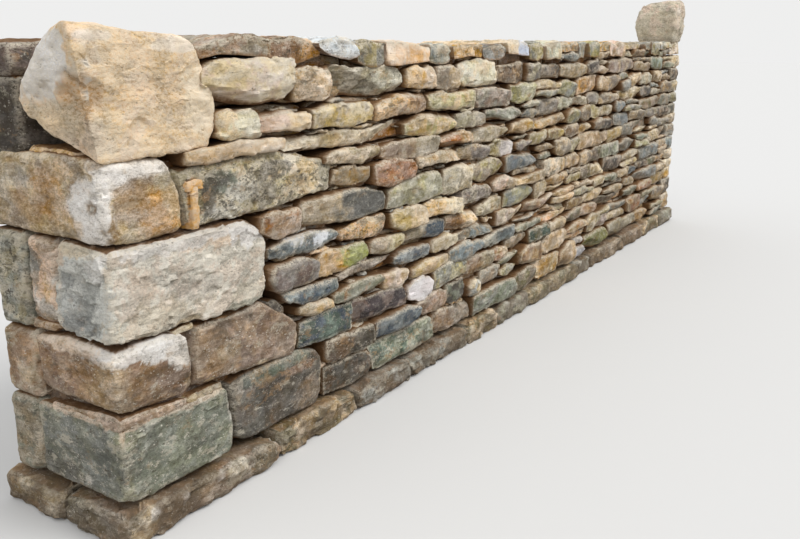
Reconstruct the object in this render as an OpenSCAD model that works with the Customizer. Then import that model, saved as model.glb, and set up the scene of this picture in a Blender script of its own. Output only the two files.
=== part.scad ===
// Double-skinned dry stone wall with a squared head, two topping boulders and flat cover stones.
// Millimetres. +X runs from the head to the far end, the photographed face looks to -Y, +Z is up.

/* [Wall] */
// Length of the wall above the footing
wall_len = 5300; // [4200:100:7200]
// Thickness of the wall above the footing, face to face
wall_w = 500; // [470:10:620]
// Depth of a face stone into the wall
leaf_w = 200; // [160:5:215]
// How far the footing stands out beyond each face
footing_out = 35; // [25:5:90]

/* [Courses] */
// Height of the footing above the ground
footing_h = 105; // [80:5:160]
// Height of the first lift, beside the green quoin
lift_1_h = 240; // [180:5:300]
// Height of the second lift, beside the brown quoin
lift_2_h = 220; // [180:5:290]
// Height of the third lift, beside the pale quoin
lift_3_h = 275; // [210:5:330]
// Height of the fourth lift, beside the ochre quoin
lift_4_h = 230; // [180:5:290]
// Height of the fifth lift, beside the corner boulder
lift_5_h = 185; // [140:5:230]
// Thickness of the cover stones
cover_h = 90; // [70:5:120]

/* [Head blocks] */
// Length of the green quoin along the face
quoin_1_len = 425; // [340:5:520]
// Length of the brown quoin along the face
quoin_2_len = 275; // [220:5:340]
// Length of the pale quoin along the face
quoin_3_len = 600; // [480:5:700]
// Length of the ochre quoin along the face
quoin_4_len = 270; // [220:5:340]
// Reach of the green quoin across the head
quoin_1_w = 360; // [300:5:375]
// Reach of the brown quoin across the head
quoin_2_w = 345; // [290:5:370]
// Reach of the pale quoin across the head
quoin_3_w = 210; // [180:5:210]
// Length of the dark block beside the green quoin
runner_1_len = 460; // [360:5:560]
// Length of the brown block beside the brown quoin
runner_2_len = 475; // [380:5:570]
// Length of the mottled block beside the ochre quoin
runner_4_len = 660; // [520:5:780]
// Width of the upright stone beside the pale quoin
upright_w = 125; // [100:5:135]
// Length of the upright stone into the wall
upright_len = 210; // [160:5:260]
// Length of the back quoin of the first lift
back_quoin_1_len = 520; // [400:5:620]
// Length of the back quoin of the second lift
back_quoin_2_len = 330; // [260:5:400]
// Length of the back quoin of the third lift
back_quoin_3_len = 560; // [440:5:660]
// Length of the corner block of the footing
footing_block_len = 640; // [500:10:780]

/* [Boulders] */
// Length of the corner boulder along the face
boulder_len = 455; // [380:5:520]
// Depth of the corner boulder across the head
boulder_w = 310; // [260:5:330]
// Height of the corner boulder
boulder_h = 322; // [290:5:380]
// How far the corner boulder stands out over the end of the wall
boulder_out = 32; // [10:2:48]
// How far the corner boulder stands proud of the face
boulder_proud = 10; // [0:2:30]
// Length of the far boulder
far_boulder_len = 290; // [240:5:400]
// Depth of the far boulder
far_boulder_w = 305; // [240:5:380]
// Height of the far boulder
far_boulder_h = 295; // [240:5:360]
// How far the far boulder stands proud of the face and the far end
far_boulder_out = 25; // [0:5:48]

/* [Stones] */
// Usual length of a face stone
stone_len = 245; // [160:5:360]
// Usual length of a footing stone
footing_stone_len = 520; // [380:10:700]
// Usual length of a cover stone
cover_stone_len = 275; // [200:5:420]
// How far a face stone may lie behind the face
face_play = 14; // [4:1:22]
// Width of an upright joint between stones
joint_w = 8; // [4:1:14]
// Depth of the open upright joint between two face stones
joint_depth = 34; // [20:2:60]
// Height of the open bed joint between two courses
bed_joint_h = 9; // [4:1:14]
// Depth of the open bed joint between two courses
bed_joint_depth = 12; // [6:1:20]
// Wear of the arrises of the face stones
stone_wear = 11; // [5:1:18]
// Wear of the arrises of the dressed blocks
block_wear = 20; // [8:1:30]
// Length of a through stone on the face
through_len = 290; // [200:5:300]
// Distance from the start of one through stone to the next
through_pitch = 900; // [800:10:1200]
// How far the sloping shoulder of the brown block runs back from its end
shoulder_len = 130; // [60:5:200]
// How far the sloping shoulder of the brown block drops
shoulder_drop = 70; // [30:5:110]

/* [Hidden] */
lift_h = [lift_1_h, lift_2_h, lift_3_h, lift_4_h, lift_5_h];
lift_courses = [2, 3, 3, 3, 2];
last_lift = len(lift_h) - 1;
RUNNER_4_COURSES = 2;
THROUGH_COURSE = 6;
COURSE_SEED = 310;
COVER_SEED = 47;
CORNER_FN = 16;
PITCH_SHARE = 0.22;
BED_SHARE = 0.6;

// Lengths of the first face stones beside the head, one row a course from the bottom
near_stones = [[290, 475, 340],
               [300, 310, 270, 185, 125],
               [295, 380, 190, 290, 280, 170],
               [165, 325, 205, 300, 320],
               [210, 375, 250, 245, 355],
               [255, 295, 240, 350, 290, 290],
               [390, 300, 260, 340, 300],
               [170, 500, 435, 280, 325],
               [235, 320, 350, 325],
               [305, 435, 315, 370],
               [420, 690, 460, 265],
               [140, 260, 370, 450, 350, 350],
               [330, 210, 450, 230, 235, 335]];
near_covers = [215, 300, 200, 130, 320, 200, 300, 170, 250];

function total(v, n) = n <= 0 ? 0 : v[n - 1] + total(v, n - 1);
function lift_z(l) = footing_h + total(lift_h, l);

// Each course is [bottom, height, lift], from the footing up
courses = [for (l = [0:last_lift]) let (h = lift_h[l] / lift_courses[l])
           for (c = [0:lift_courses[l] - 1]) [lift_z(l) + c * h, h, l]];
cover_z = lift_z(last_lift + 1);
top_z = cover_z + cover_h;

// Along the face, where the coursed stones of each lift begin, beyond the blocks of the head
seat_len = boulder_len - boulder_out;
seat_w = boulder_w - boulder_proud;
block_end = [quoin_1_len + runner_1_len + 2 * joint_w,
             quoin_2_len + runner_2_len + 2 * joint_w,
             quoin_3_len + joint_w,
             quoin_4_len + runner_4_len + 2 * joint_w,
             seat_len + joint_w];
// The mottled block is lower than its lift, and the courses above it run back over it to the quoin
runner_4_h = RUNNER_4_COURSES * lift_4_h / lift_courses[3];
over_runner_4 = total(lift_courses, 3) + RUNNER_4_COURSES;
function front_start(k) = let (l = courses[k][2])
    l == 3 && k >= over_runner_4 ? quoin_4_len + joint_w : block_end[l];
back_start = [back_quoin_1_len + joint_w, back_quoin_2_len + joint_w, back_quoin_3_len + joint_w,
              quoin_4_len + joint_w, seat_len + joint_w];
// Where the hearting of each lift begins, behind the block that closes the head
heart_start = [quoin_1_len + joint_w, quoin_2_len + joint_w, upright_len + joint_w,
               quoin_4_len + joint_w, seat_len + joint_w];
// Across the head, where the hearting may start behind the front blocks and must end before the back ones
upright_reach = quoin_3_w + joint_w + upright_w;
heart_near = [leaf_w, leaf_w, quoin_3_w + joint_w, leaf_w, leaf_w];
heart_far = [quoin_1_w, quoin_2_w, upright_reach, wall_w - leaf_w, wall_w - leaf_w];

// The first through stone comes after the first face stone of its course
through_start = front_start(THROUGH_COURSE) + near_stones[THROUGH_COURSE][0];
throughs = floor((wall_len - leaf_w - through_len - joint_w - through_start) / through_pitch);
function through_x(i) = through_start + i * through_pitch;

// Ends of the stones along one stretch, each joint shifted from its even place
function stone_ends(from, to, usual, seed) =
    let (n = max(1, round((to - from) / usual)), shift = rands(-0.27, 0.27, n + 1, seed))
    [for (i = [0:n]) from + (to - from) * (i + (i == 0 || i == n ? 0 : shift[i])) / n];

// Ends of the stones of a row that begins with stones of given lengths and goes on at the usual length
function row_ends(from, to, near, usual, seed) =
    let (near_end = from + total(near, len(near)))
    concat([for (i = [0:len(near) - 1]) from + total(near, i)], stone_ends(near_end, to, usual, seed));

// Broken outline of a row of stones as [distance along, depth behind the face], set back all along
function broken_line(ends, play, seed, set_back = 0) =
    let (back = rands(0, play, 2 * len(ends), seed), half = joint_w / 2)
    [for (i = [0:len(ends) - 2])
        each [[ends[i] + half, joint_depth + set_back],
              [ends[i] + half + stone_wear, back[2 * i] + set_back],
              [ends[i + 1] - half - stone_wear, back[2 * i + 1] + set_back],
              [ends[i + 1] - half, joint_depth + set_back]]];

function without_ends(line, first, last) = [for (i = [first:len(line) - 1 - last]) line[i]];

// Ends of a row with its first and last end drawn in
function drawn_in(ends, first, last) =
    [for (i = [0:len(ends) - 1]) ends[i] + (i == 0 ? first : 0) - (i == len(ends) - 1 ? last : 0)];

// Outline of a course: along the front, round the far end, home along the back and round the hearting
function course_outline(k, set_back) =
    let (l = courses[k][2],
         seed = COURSE_SEED + 10 * k,
         tie = wall_w * (k % 2 == 0 ? 0.42 : 0.6),
         front_ends = drawn_in(row_ends(front_start(k), wall_len, near_stones[k], stone_len, seed), 0, set_back),
         far_ends = drawn_in([0, tie, wall_w], set_back, set_back),
         back_ends = drawn_in(stone_ends(back_start[l], wall_len, stone_len, seed + 3), 0, set_back),
         front = without_ends(broken_line(front_ends, face_play, seed + 1, set_back), 0, 1),
         far = without_ends(broken_line(far_ends, face_play, seed + 2, set_back), 1, 1),
         back = without_ends(broken_line(back_ends, face_play, seed + 4, set_back), 0, 1))
    concat([for (p = front) [p[0], p[1]]],
           [for (p = far) [wall_len - p[1], p[0]]],
           [for (i = [len(back) - 1:-1:0]) [back[i][0], wall_w - back[i][1]]],
           [[back_start[l] + joint_w / 2, wall_w - leaf_w],
            [wall_len - leaf_w, wall_w - leaf_w],
            [wall_len - leaf_w, leaf_w],
            [front_start(k) + joint_w / 2, leaf_w]]);

// Places children by their distance from the head, from the front face and from the ground
module from_head(x, y, z) translate([x - wall_len / 2, y - wall_w / 2, z]) children();

// Dressed block with flat beds, rounded upright arrises and a worn, slightly pitched face.
// A shoulder of [run, drop] slopes its top down towards its far end.
module dressed_block(size, seed, shoulder = [0, 0]) {
    lean = rands(0, block_wear / 2, 8, seed);
    outline = [[lean[0], lean[1]], [size[0] - lean[2], lean[3]],
               [size[0] - lean[4], size[1] - lean[5]], [lean[6], size[1] - lean[7]]];
    top = [for (i = [0:3]) outline[i] - [i == 1 || i == 2 ? shoulder[0] : 0, 0]];
    pitch = size[2] * PITCH_SHARE;
    hull() {
        translate([0, 0, pitch])
            linear_extrude(size[2] - 2 * pitch - shoulder[1]) worn_outline(outline, 0);
        linear_extrude(size[2] - pitch - shoulder[1]) worn_outline(outline, block_wear * BED_SHARE);
        translate([0, 0, pitch]) linear_extrude(size[2] - 2 * pitch) worn_outline(top, 0);
        translate([0, 0, pitch]) linear_extrude(size[2] - pitch) worn_outline(top, block_wear * BED_SHARE);
    }
}

module worn_outline(outline, inset)
    offset(r = block_wear, $fn = CORNER_FN) offset(delta = -block_wear - inset) polygon(outline);

// Boulder from flat rings, each [height share, length share, depth share, shift along, shift across]
module boulder(size, rings, corners) {
    hull() for (ring = rings)
        translate([size[0] * ring[3], size[1] * ring[4], min(size[2] * ring[0], size[2] - 1)])
            linear_extrude(1)
                polygon([for (c = corners) [size[0] * ring[1] * c[0], size[1] * ring[2] * c[1]]]);
}

module footing_row(from, to, y0, y1, seed) {
    ends = stone_ends(from, to, footing_stone_len, seed);
    face = broken_line(ends, face_play, seed + 1);
    inner = y0 < y1 ? 1 : -1;
    outline = concat([[from + joint_w / 2, y1]],
                     [[from + joint_w / 2, y0 + inner * face_play]],
                     [for (p = without_ends(face, 1, 1)) [p[0], y0 + inner * p[1]]],
                     [[to - joint_w / 2, y0 + inner * face_play]],
                     [[to - joint_w / 2, y1]]);
    from_head(0, 0, 0) linear_extrude(footing_h) polygon(outline);
}

module footing_corner() color("dimgray")
    from_head(-footing_out, -footing_out, 0) linear_extrude(footing_h)
        offset(r = block_wear, $fn = CORNER_FN) offset(delta = -block_wear)
            square([footing_block_len, wall_w / 2 + footing_out]);

module footing_front() color("dimgray")
    footing_row(footing_block_len - footing_out + joint_w / 2, wall_len + footing_out + joint_w / 2,
                -footing_out, wall_w / 2, 5);

module footing_back() color("dimgray")
    footing_row(-footing_out - joint_w / 2, wall_len + footing_out + joint_w / 2,
                wall_w + footing_out, wall_w / 2, 9);

module head_quoin_1() color("darkseagreen")
    from_head(0, 0, lift_z(0)) dressed_block([quoin_1_len, quoin_1_w, lift_1_h], 11);

module head_quoin_2() color("rosybrown")
    from_head(0, 0, lift_z(1)) dressed_block([quoin_2_len, quoin_2_w, lift_2_h], 12);

module head_quoin_3() color("gainsboro")
    from_head(0, 0, lift_z(2)) dressed_block([quoin_3_len, quoin_3_w, lift_3_h], 13);

module head_quoin_4() color("peru")
    from_head(0, 0, lift_z(3)) dressed_block([quoin_4_len, wall_w, lift_4_h], 14);

module head_runner_1() color("slategray")
    from_head(quoin_1_len + joint_w, 0, lift_z(0)) dressed_block([runner_1_len, leaf_w, lift_1_h], 21);

module head_runner_2() color("rosybrown")
    from_head(quoin_2_len + joint_w, 0, lift_z(1))
        dressed_block([runner_2_len, leaf_w, lift_2_h], 22, [shoulder_len, shoulder_drop]);

module head_runner_4() color("darkkhaki")
    from_head(quoin_4_len + joint_w, 0, lift_z(3)) dressed_block([runner_4_len, leaf_w, runner_4_h], 24);

module head_upright_3() color("burlywood")
    from_head(0, quoin_3_w + joint_w, lift_z(2)) dressed_block([upright_len, upright_w, lift_3_h], 23);

// Back corner block of a lift, from the front block's reach to the back face
module back_quoin(l, length, reach, seed)
    from_head(0, reach + joint_w, lift_z(l))
        dressed_block([length, wall_w - reach - joint_w, lift_h[l]], seed);

module back_quoin_1() color("tan") back_quoin(0, back_quoin_1_len, quoin_1_w, 31);

module back_quoin_2() color("tan") back_quoin(1, back_quoin_2_len, quoin_2_w, 32);

module back_quoin_3() color("tan")
    back_quoin(2, back_quoin_3_len, upright_reach, 33);

module head_back_stone_5() color("dimgray") back_quoin(4, seat_len, seat_w, 35);

module course(k) color("tan")
    difference() {
        from_head(0, 0, courses[k][0]) {
            linear_extrude(courses[k][1] - bed_joint_h) polygon(course_outline(k, 0));
            linear_extrude(courses[k][1]) polygon(course_outline(k, bed_joint_depth));
        }
        if (k == THROUGH_COURSE) for (i = [0:throughs])
            from_head(through_x(i) - joint_w, -1, courses[k][0] - 1)
                cube([through_len + 2 * joint_w, wall_w + 2, courses[k][1] + 2]);
    }

module through_stones() color("darkkhaki")
    for (i = [0:throughs])
        from_head(through_x(i), 0, courses[THROUGH_COURSE][0])
            linear_extrude(courses[THROUGH_COURSE][1])
                polygon([[stone_wear, 0], [through_len - stone_wear, 0], [through_len, stone_wear],
                         [through_len, wall_w - stone_wear], [through_len - stone_wear, wall_w],
                         [stone_wear, wall_w], [0, wall_w - stone_wear], [0, stone_wear]]);

// Outline of the hearting of a lift, wider or narrower where the head blocks reach beside it
function heart_outline(l) =
    let (x0 = heart_start[l], x1 = wall_len - leaf_w,
         front_step = max(x0, heart_near[l] > leaf_w ? block_end[l] : x0),
         back_step = max(x0, back_start[l]))
    [[x0, heart_near[l]], [front_step, heart_near[l]], [front_step, leaf_w], [x1, leaf_w],
     [x1, wall_w - leaf_w], [back_step, wall_w - leaf_w], [back_step, heart_far[l]], [x0, heart_far[l]]];

// Packed small stone between the two faces
module hearting() color("saddlebrown")
    difference() {
        union() for (l = [0:last_lift])
            from_head(0, 0, lift_z(l)) linear_extrude(lift_h[l]) polygon(heart_outline(l));
        for (i = [0:throughs])
            from_head(through_x(i) - joint_w, 0, courses[THROUGH_COURSE][0])
                cube([through_len + 2 * joint_w, wall_w, courses[THROUGH_COURSE][1]]);
    }

cover_ends = row_ends(seat_len + joint_w, wall_len, near_covers, cover_stone_len, COVER_SEED);
cover_lack = rands(0, 16, len(cover_ends), COVER_SEED + 1);
cover_skew = rands(0, 2 * face_play, 4 * len(cover_ends), COVER_SEED + 2);
far_boulder_x = wall_len + far_boulder_out - far_boulder_len;

// A cover stone under the far boulder has its full thickness, so that the boulder is seated
function cover_thickness(i) = cover_ends[i + 1] > far_boulder_x ? cover_h : cover_h - cover_lack[i];

module cover_stones() color("wheat")
    for (i = [0:len(cover_ends) - 2]) {
        x0 = cover_ends[i] + joint_w / 2;
        x1 = cover_ends[i + 1] - joint_w / 2;
        s = [for (j = [0:3]) cover_skew[4 * i + j]];
        from_head(0, 0, cover_z) linear_extrude(cover_thickness(i))
            polygon([[x0, s[0]], [x0 + stone_wear, s[0] - stone_wear / 2], [x1 - stone_wear, s[1] - stone_wear],
                     [x1, s[1]], [x1, wall_w - s[2]], [x1 - stone_wear, wall_w - s[2] + stone_wear / 2],
                     [x0 + stone_wear, wall_w - s[3] + stone_wear], [x0, wall_w - s[3]]]);
    }

module head_cover_slab() color("wheat")
    from_head(0, seat_w + joint_w, cover_z)
        dressed_block([seat_len - joint_w, wall_w - seat_w - joint_w, cover_h], 41);

module corner_boulder() color("navajowhite")
    from_head(-boulder_out, -boulder_proud, lift_z(4))
        boulder([boulder_len, boulder_w, boulder_h],
                [[0, 0.79, 0.45, 0.05, 0.04], [0.05, 0.9, 0.56, 0.04, 0.02], [0.33, 1, 0.98, 0, 0],
                 [0.52, 0.93, 1, 0, 0], [0.82, 0.86, 0.7, 0, 0.01], [1, 0.42, 0.4, 0, 0.06]],
                [[0.02, 0.02], [0.95, 0], [1, 0.16], [0.98, 0.8], [0.84, 1], [0.22, 0.98], [0.08, 0.9], [0, 0.12]]);

module far_boulder() color("navajowhite")
    from_head(far_boulder_x, -far_boulder_out, top_z)
        boulder([far_boulder_len, far_boulder_w, far_boulder_h],
                [[0, 0.86, 0.8, 0.06, 0.1], [0.2, 1, 1, 0, 0], [0.62, 0.93, 0.94, 0.04, 0.03],
                 [0.9, 0.8, 0.8, 0.1, 0.1], [1, 0.56, 0.56, 0.2, 0.22]],
                [[0.12, 0], [0.88, 0.02], [1, 0.16], [0.98, 0.82], [0.86, 1], [0.16, 0.98], [0, 0.84], [0.02, 0.14]]);

footing_corner();
footing_front();
footing_back();
head_quoin_1();
head_quoin_2();
head_quoin_3();
head_quoin_4();
head_runner_1();
head_runner_2();
head_runner_4();
head_upright_3();
back_quoin_1();
back_quoin_2();
back_quoin_3();
head_back_stone_5();
course(0);  // course_01
course(1);  // course_02
course(2);  // course_03
course(3);  // course_04
course(4);  // course_05
course(5);  // course_06
course(6);  // course_07
course(7);  // course_08
course(8);  // course_09
course(9);  // course_10
course(10);  // course_11
course(11);  // course_12
course(12);  // course_13
through_stones();
hearting();
cover_stones();
head_cover_slab();
corner_boulder();
far_boulder();
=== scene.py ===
# Double-skinned dry stone wall: squared head of large quoins, thin coursed face stones, flat cover stones
# and a big loose boulder on top at each end. Lengths in metres, colours as they look on a screen, 0 to 255.
import functools
import math

import bmesh
import bpy
import numpy as np
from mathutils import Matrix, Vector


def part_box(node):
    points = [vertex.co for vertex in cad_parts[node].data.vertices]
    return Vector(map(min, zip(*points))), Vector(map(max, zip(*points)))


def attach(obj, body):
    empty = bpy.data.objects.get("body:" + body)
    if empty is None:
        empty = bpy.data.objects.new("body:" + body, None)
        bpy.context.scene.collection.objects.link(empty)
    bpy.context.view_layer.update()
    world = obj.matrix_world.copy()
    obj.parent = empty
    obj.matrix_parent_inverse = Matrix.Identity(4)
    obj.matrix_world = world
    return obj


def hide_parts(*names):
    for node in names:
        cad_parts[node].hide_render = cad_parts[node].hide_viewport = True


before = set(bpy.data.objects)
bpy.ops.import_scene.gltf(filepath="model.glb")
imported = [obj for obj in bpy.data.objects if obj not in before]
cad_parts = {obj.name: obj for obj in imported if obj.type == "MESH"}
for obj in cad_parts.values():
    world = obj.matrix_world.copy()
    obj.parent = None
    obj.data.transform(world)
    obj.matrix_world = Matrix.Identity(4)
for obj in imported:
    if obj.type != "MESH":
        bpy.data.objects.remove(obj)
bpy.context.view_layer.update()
print("frame loaded:", len(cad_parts), "nodes")

wall = {
    "length": 5.3,
    "width": 0.5,
    "leafDepth": 0.185,  # how far a face stone reaches into the wall
    "footingTop": 0.105,
    "coverBottom": 1.255,
    "coverTop": 1.345,
}
courseCount = 13
bedLevel = [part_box("course_%02d" % (k + 1))[0].z for k in range(courseCount)] + [wall["coverBottom"]]

# Where the face stones of each course begin, measured from the head along the back
backStart = [0.528, 0.528, 0.338, 0.338, 0.338, 0.568, 0.568, 0.568, 0.278, 0.278, 0.278, 0.421, 0.421]

# Tones of the stone, by the names that the lists below use
tones = {
    "white": (222, 215, 206), "greyWhite": (188, 184, 174), "cream": (216, 196, 163),
    "creamPink": (212, 190, 166), "creamGrey": (192, 181, 156), "tan": (184, 163, 131),
    "tanYellow": (182, 164, 122), "tanPink": (188, 165, 143), "honey": (196, 165, 121),
    "ochre": (180, 148, 104), "orange": (184, 146, 108), "rust": (160, 124, 94),
    "brown": (148, 126, 101), "redBrown": (134, 113, 94), "darkBrown": (104, 89, 74),
    "grey": (150, 146, 134), "greyTan": (170, 157, 133), "greyBrown": (143, 130, 112),
    "greyGreen": (141, 141, 123), "greenTan": (170, 159, 124), "yellowGreen": (140, 138, 92),
    "greenBlue": (100, 108, 96), "blueGrey": (128, 130, 126), "blueDark": (88, 93, 98),
    "slate": (108, 107, 101), "purpleGrey": (145, 133, 121), "purpleBrown": (120, 104, 93),
    "olive": (112, 105, 79), "dark": (92, 86, 77), "nightBrown": (72, 63, 60),
    "rustBrown": (146, 106, 74), "earth": (144, 108, 70), "creamBright": (236, 218, 190),
    "chalk": (231, 218, 200), "chalkPink": (222, 203, 183), "amber": (176, 136, 88),
    "amberStrip": (210, 168, 112), "coolGrey": (203, 206, 202), "stoneGreen": (147, 148, 138),
    "soil": (112, 95, 76), "creamWarm": (217, 190, 153), "boulderGrey": (236, 234, 232),
    "lime": (236, 232, 227), "snow": (252, 249, 245), "footingDark": (96, 89, 70),
    # backDark and backBrown are painted shadow for the stones behind the corner boulder
    "backDark": (66, 60, 52), "backBrown": (88, 73, 63), "boulderOchre": (190, 151, 104),
    "fleck": (230, 224, 212), "pit": (84, 70, 54), "worn": (222, 212, 192), "jointSoil": (112, 80, 48),
}


def linear(tone):
    part = np.asarray(tones[tone] if isinstance(tone, str) else tone, float) / 255
    return np.where(part <= 0.04045, part / 12.92, ((part + 0.055) / 1.055) ** 2.4)


def smoothStep(start, end, value):
    t = np.clip((value - start) / (end - start), 0, 1)
    return t * t * (3 - 2 * t)


# Seeded noise, about -1 to 1: a soft one, and one of broken cells
noiseDice = np.random.default_rng(11)
slopeCount = 256
shuffled = noiseDice.permutation(slopeCount)
slopes = noiseDice.normal(size=(slopeCount, 3))
slopes /= np.linalg.norm(slopes, axis=1)[:, None]
grainGain = 1.7
cellLook = {
    "ragged": 0.42,  # how far the cells stray from an even pattern
    "slope": 1.1,
    "step": 0.7,
    "other": 97,  # which of the slopes tilts a cell, counted on from the one that moves it
}


def shuffle(number):
    return shuffled[number & (slopeCount - 1)]


def grain(points, size, shift=0.0):
    spot = points / np.asarray(size) + shift
    cell = np.floor(spot).astype(np.int64)
    part = spot - cell
    ease = part ** 3 * (part * (part * 6 - 15) + 10)
    total = np.zeros(len(points))
    for dx in (0, 1):
        first = shuffle(cell[:, 0] + dx)
        wx = ease[:, 0] if dx else 1 - ease[:, 0]
        for dy in (0, 1):
            second = shuffle(first + cell[:, 1] + dy)
            wy = ease[:, 1] if dy else 1 - ease[:, 1]
            for dz in (0, 1):
                slope = slopes[shuffle(second + cell[:, 2] + dz)]
                wz = ease[:, 2] if dz else 1 - ease[:, 2]
                rise = (slope[:, 0] * (part[:, 0] - dx) + slope[:, 1] * (part[:, 1] - dy)
                        + slope[:, 2] * (part[:, 2] - dz))
                total += rise * wx * wy * wz
    return total * grainGain


def grains(points, layers, shift=0.0):
    # Several layers of the soft noise: size, share and own shift of each
    total = 0.0
    for size, share, ownShift in layers:
        total = total + share * grain(points, size, shift + ownShift)
    return total


def facets(points, size, shift=0.0):
    # Broken surface: every cell has its own slope and level
    spot = points / size + shift
    cell = np.floor(spot).astype(np.int64)
    nearest = np.full(len(points), np.inf)
    rise = np.zeros(len(points))
    for step in np.ndindex(3, 3, 3):
        other = cell + np.array(step) - 1
        number = shuffle(shuffle(shuffle(other[:, 0]) + other[:, 1]) + other[:, 2])
        away = spot - other - 0.5 - cellLook["ragged"] * slopes[number]
        far = (away * away).sum(1)
        tilt = (slopes[(number + cellLook["other"]) & (slopeCount - 1)] * away).sum(1)
        level = cellLook["slope"] * tilt + cellLook["step"] * (number / (slopeCount - 1) - 0.5)
        closer = far < nearest
        rise = np.where(closer, level, rise)
        nearest = np.where(closer, far, nearest)
    return rise


# Camera, light and floor

camera = {
    "place": (-4.009, -1.995, 1.35),
    "turn": (75.0, 0.0, -57.6),
    "lens": 38.25,
    "sensor": 36.0,
}
light = {
    "lamps": {  # strength, turn, softness
        "key": (1.75, (44.0, 0.0, 26.0), 28.0),
        "fill": (0.85, (50.0, 0.0, -60.0), 50.0),
    },
    "lampColour": (1.0, 0.985, 0.96),
    "sky": (0.975, 0.985, 1.0),
    "skyStrength": 0.74,
    "pale": (0.86, 0.86, 0.855),  # the backdrop as it is seen
}
floorLook = {
    "seen": (0.663, 0.663, 0.659),
    "bounce": (0.24, 0.22, 0.19),  # what the wall gets back from it
    "radius": 60,
    "corners": 64,
}


def put(name, data):
    thing = bpy.data.objects.new(name, data)
    bpy.context.collection.objects.link(thing)
    return thing


def setCamera():
    lens = bpy.data.cameras.new("camera")
    lens.lens = camera["lens"]
    lens.sensor_width = camera["sensor"]
    lens.sensor_fit = "HORIZONTAL"
    eye = put("camera", lens)
    eye.location = camera["place"]
    eye.rotation_euler = [math.radians(a) for a in camera["turn"]]
    bpy.context.scene.camera = eye
    bpy.context.scene.view_settings.view_transform = "Standard"


def setLamps():
    for name, (strength, turn, softness) in light["lamps"].items():
        sun = bpy.data.lights.new(name, "SUN")
        sun.energy = strength
        sun.angle = math.radians(softness)
        sun.color = light["lampColour"]
        put(name, sun).rotation_euler = [math.radians(a) for a in turn]


def seenByEye(nodes, links):
    # 1 for what the camera sees, straight or in a shine
    path = nodes.new("ShaderNodeLightPath")
    seen = path.outputs["Is Camera Ray"]
    for ray in ("Is Glossy Ray", "Is Transmission Ray"):
        either = nodes.new("ShaderNodeMath")
        either.operation = "MAXIMUM"
        links.new(seen, either.inputs[0])
        links.new(path.outputs[ray], either.inputs[1])
        seen = either.outputs[0]
    return seen


def partedByEye(tree, endKind, partKind, hidden, seen):
    # Lights the wall with the first colour and strength, and shows the second
    nodes, links = tree.nodes, tree.links
    nodes.clear()
    out = nodes.new(endKind)
    mix = nodes.new("ShaderNodeMixShader")
    links.new(seenByEye(nodes, links), mix.inputs["Fac"])
    for index, (colour, strength) in enumerate((hidden, seen)):
        part = nodes.new(partKind)
        part.inputs["Color"].default_value = (*colour, 1)
        if "Strength" in part.inputs:
            part.inputs["Strength"].default_value = strength
        links.new(part.outputs[0], mix.inputs[1 + index])
    links.new(mix.outputs[0], out.inputs["Surface"])


def setSky():
    sky = bpy.data.worlds.new("sky")
    sky.use_nodes = True
    partedByEye(sky.node_tree, "ShaderNodeOutputWorld", "ShaderNodeBackground",
                (light["sky"], light["skyStrength"]), (light["pale"], 1.0))
    bpy.context.scene.world = sky


def setFloor():
    paint = bpy.data.materials.new("floor_paint")
    paint.use_nodes = True
    partedByEye(paint.node_tree, "ShaderNodeOutputMaterial", "ShaderNodeBsdfDiffuse",
                (floorLook["bounce"], 1.0), (floorLook["seen"], 1.0))
    floorMesh = bpy.data.meshes.new("floor")
    shape = bmesh.new()
    bmesh.ops.create_circle(shape, cap_ends=True, segments=floorLook["corners"], radius=floorLook["radius"])
    shape.to_mesh(floorMesh)
    shape.free()
    floorMesh.materials.append(paint)
    floor = put("floor", floorMesh)


setCamera()
setLamps()
setSky()
setFloor()
print("camera, light and floor set")

# Finish of the stone. Each slot has its own look over the tones painted on the points.

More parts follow.
